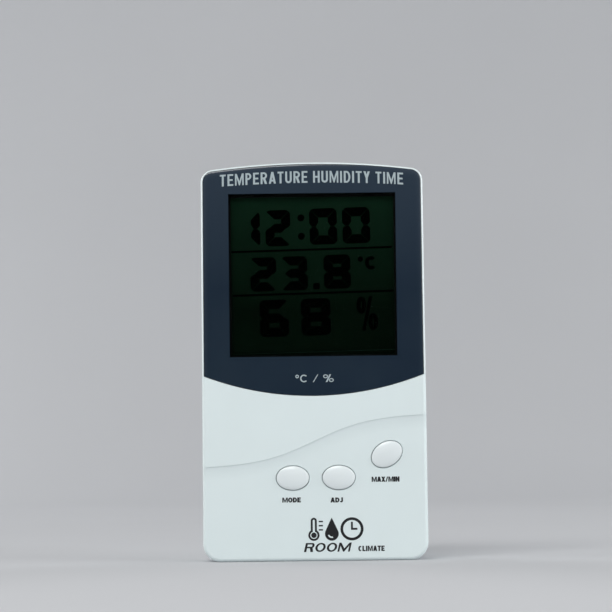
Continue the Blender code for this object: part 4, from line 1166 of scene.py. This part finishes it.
def case_screws():
    """Pan-head screws with a tapered cross recess, and a thread on the shank."""
    seat_y, head, shank, core, pitch = 9.3, 2.3, 1.1, 0.85, 0.9
    for node, x, z in screw_places("case_screw"):
        low, high = span(node)
        rise, depth = high.y - seat_y, seat_y - low.y
        profile = [(0, rise)]
        for step in range(9):
            turn = radians(10 * step)
            profile.append((head * (0.55 + 0.45 * sin(turn)), rise * (0.42 + 0.58 * cos(turn))))
        profile += [(head, 0.3), (head - 0.12, 0), (shank, 0)]
        for turn in range(int((depth - 2) / pitch)):
            top = -0.6 - turn * pitch
            profile += [(core, top), (shank, top - 0.3), (core, top - 0.6)]
        profile += [(0.75, shank - depth), (0, -depth)]
        screw = seated(turned("screw_" + node[11:], profile, 40), x, seat_y, z, TO_BACK)
        recess = loft("recess_" + node, [
            at_depth(cross_outline(x, z, arm, half), seat_y + y)
            for arm, half, y in ((0.25, 0.1, rise * 0.3), (1.25, 0.3, rise), (1.3, 0.3, rise + 0.5))])
        finish_piece(cut_and_join(screw, [cut(recess)]), "tinned_steel", "tinned_steel", node)


def battery():
    """A small round cell with a sleeve, crimped ends and a raised positive button."""
    length = CELL_HIGH.x - CELL_LOW.x
    centre = (CELL_LOW + CELL_HIGH) / 2
    radius = (CELL_HIGH.z - CELL_LOW.z) / 2
    shoulder = length - 1
    profile = [(0, length), (1.6, length), (1.85, length - 0.12), (1.9, length - 0.4),
               (1.9, shoulder + 0.05), (2.6, shoulder - 0.1), (4.2, shoulder - 0.1), (4.45, shoulder),
               (4.9, shoulder)]
    profile += [(5.25 - 0.4 * fall, shoulder - 0.4 * rise) for rise, fall in quarter(6)[1:]]
    profile += [(radius, 0.4), (5.13, 0.12), (4.85, 0), (4.3, 0), (4.1, 0.15), (0, 0.15)]
    cell = seated(turned("cell", profile, 72), CELL_LOW.x, centre.y, centre.z, TO_RIGHT)
    finish_piece(cell, "battery_wrap", "battery_wrap", "battery_cell")


def battery_spring():
    """A conical wire coil with its wide end against the contact plate."""
    low, high = span("battery_spring")
    centre = (low + high) / 2
    wire_radius, turns, count = 0.35, 3, 108
    start, length = low.x + wire_radius, high.x - low.x - 2 * wire_radius
    curve = bpy.data.curves.new("spring_wire", "CURVE")
    curve.dimensions = "3D"
    curve.bevel_depth = wire_radius * MM
    curve.bevel_resolution = 4
    curve.use_fill_caps = True
    spline = curve.splines.new("POLY")
    spline.points.add(count)
    for step in range(count + 1):
        share = step / count
        turn = 2 * pi * turns * share
        radius = 3.6 - 1.4 * share
        place = Vector((start + length * share, centre.y + radius * cos(turn),
                        centre.z + radius * sin(turn)))
        spline.points[step].co = (*(place * MM), 1)
    spring = settled(add_object("spring_wire", curve), "spring_wire")
    finish_piece(spring, "tinned_steel", "tinned_steel", "battery_spring")


# ---- carried-over nodes

def dress_nodes():
    """Every other node keeps its shape and gets its slot's finished material."""
    for part in frame["record"]["subparts"]:
        for slot in frame["nodes"][part["node"]].material_slots:
            slot.material = SURFACES[part["material_slot"]]


# ---- stage, light and camera, in metres

def stage_floor():
    """A wide pale floor that sweeps up behind the object."""
    reach, start, sweep, top = 6, 0.9, 0.6, 3
    profile = [(-reach, 0)]
    profile += [(start + sweep * (1 - fall), sweep * rise) for rise, fall in quarter(15)]
    profile.append((start + sweep, top))
    shape = bmesh.new()
    rows = [[shape.verts.new((x, y, z)) for y, z in profile] for x in (-reach, reach)]
    for index in range(len(profile) - 1):
        shape.faces.new((rows[0][index], rows[1][index], rows[1][index + 1], rows[0][index + 1]))
    mesh = bpy.data.meshes.new("floor")
    shape.to_mesh(mesh)
    shape.free()
    floor = add_object("floor", mesh)
    floor.data.shade_smooth()
    nodes = new_surface("floor_paper", (0.50, 0.51, 0.53), 0.9)
    nodes.feed(nodes.shader, {"Specular IOR Level": 0.1})
    nodes.color(nodes.ranged(nodes.noise(400)), (0.49, 0.50, 0.52), (0.51, 0.52, 0.54))
    floor.data.materials.append(SURFACES["floor_paper"])


# Name, place, size and power in watts of each lamp, and its colour unless it is white
LAMPS = (
    ("key", (-0.38, -0.95, 1.08), (0.9, 0.6), 11.3, (1, 0.99, 0.97)),
    ("fill", (1.15, -0.75, 0.55), (0.7, 0.9), 6.5, (0.97, 0.99, 1)),
    ("side_left", (-2.3, -0.3, 0.6), (0.9, 0.9), 13),
    ("side_right", (2.3, -0.3, 0.6), (0.9, 0.9), 12.5),
    ("back_left", (-1, 1, 0.6), (0.8, 0.8), 7.6),
    ("back_right", (1.1, 0.9, 0.5), (0.8, 0.8), 6.6),
)


def lamps():
    target = Vector((0, 0, 0.06))
    for name, place, size, power, *color in LAMPS:
        light = bpy.data.lights.new(name, "AREA")
        light.shape = "RECTANGLE"
        light.size, light.size_y = size
        light.energy = power
        light.color = color[0] if color else (1, 1, 1)
        obj = add_object(name, light)
        obj.location = place
        obj.rotation_euler = (target - Vector(place)).to_track_quat("-Z", "Y").to_euler()


def dome():
    """A soft pale dome that is dark straight in front of the lens, so that it mirrors nothing."""
    world = bpy.data.worlds.new("studio")
    bpy.context.scene.world = world
    nodes = Nodes(world, "Background")
    split = nodes.add("SeparateXYZ", {"Vector": nodes.place("Generated")})
    height = nodes.ranged(split.outputs["Z"], 0.25, 0.30, 0, 0.7)
    facing = nodes.ranged(split.outputs["Y"], 0.01, 1, -0.985, -0.90)
    shade = nodes.add("Math", {0: height, 1: facing})
    shade.operation = "MULTIPLY"
    seen = nodes.tree.nodes.new("ShaderNodeMix")
    seen.data_type = "FLOAT"
    camera_ray = nodes.add("LightPath", {}).outputs["Is Camera Ray"]
    nodes.feed(seen, {"Factor": camera_ray, 2: shade.outputs["Value"], 3: 0.62})
    nodes.feed(nodes.shader, {"Strength": seen.outputs[0], "Color": (0.98, 0.99, 1)})


def camera():
    """In front of the face and square to it, with the slight roll of the photographed one."""
    face_span, distance, height, aim_height, x = 0.1915, 0.8, 0.034, 0.0797, -0.0022
    data = bpy.data.cameras.new("camera")
    data.sensor_width = 36
    data.lens = 36 * distance / face_span
    data.clip_end = 30
    obj = add_object("camera", data)
    place = Vector((x, FACE_Y * MM - distance, height))
    aim = Vector((x, FACE_Y * MM, aim_height))
    level = (aim - place).to_track_quat("-Z", "Y").to_matrix().to_4x4()
    obj.matrix_world = Matrix.Translation(place) @ level @ Matrix.Rotation(radians(-0.7), 4, "Z")
    bpy.context.scene.camera = obj


for build in (front_case, back_case, display_lens, display_frame_and_shadow, display_glass, display_content,
              printing, front_buttons, unit_cap, battery_door, stand_leg, case_screws, battery,
              battery_spring, dress_nodes, stage_floor, lamps, dome, camera):
    build()
bpy.context.scene.view_settings.view_transform = "Standard"
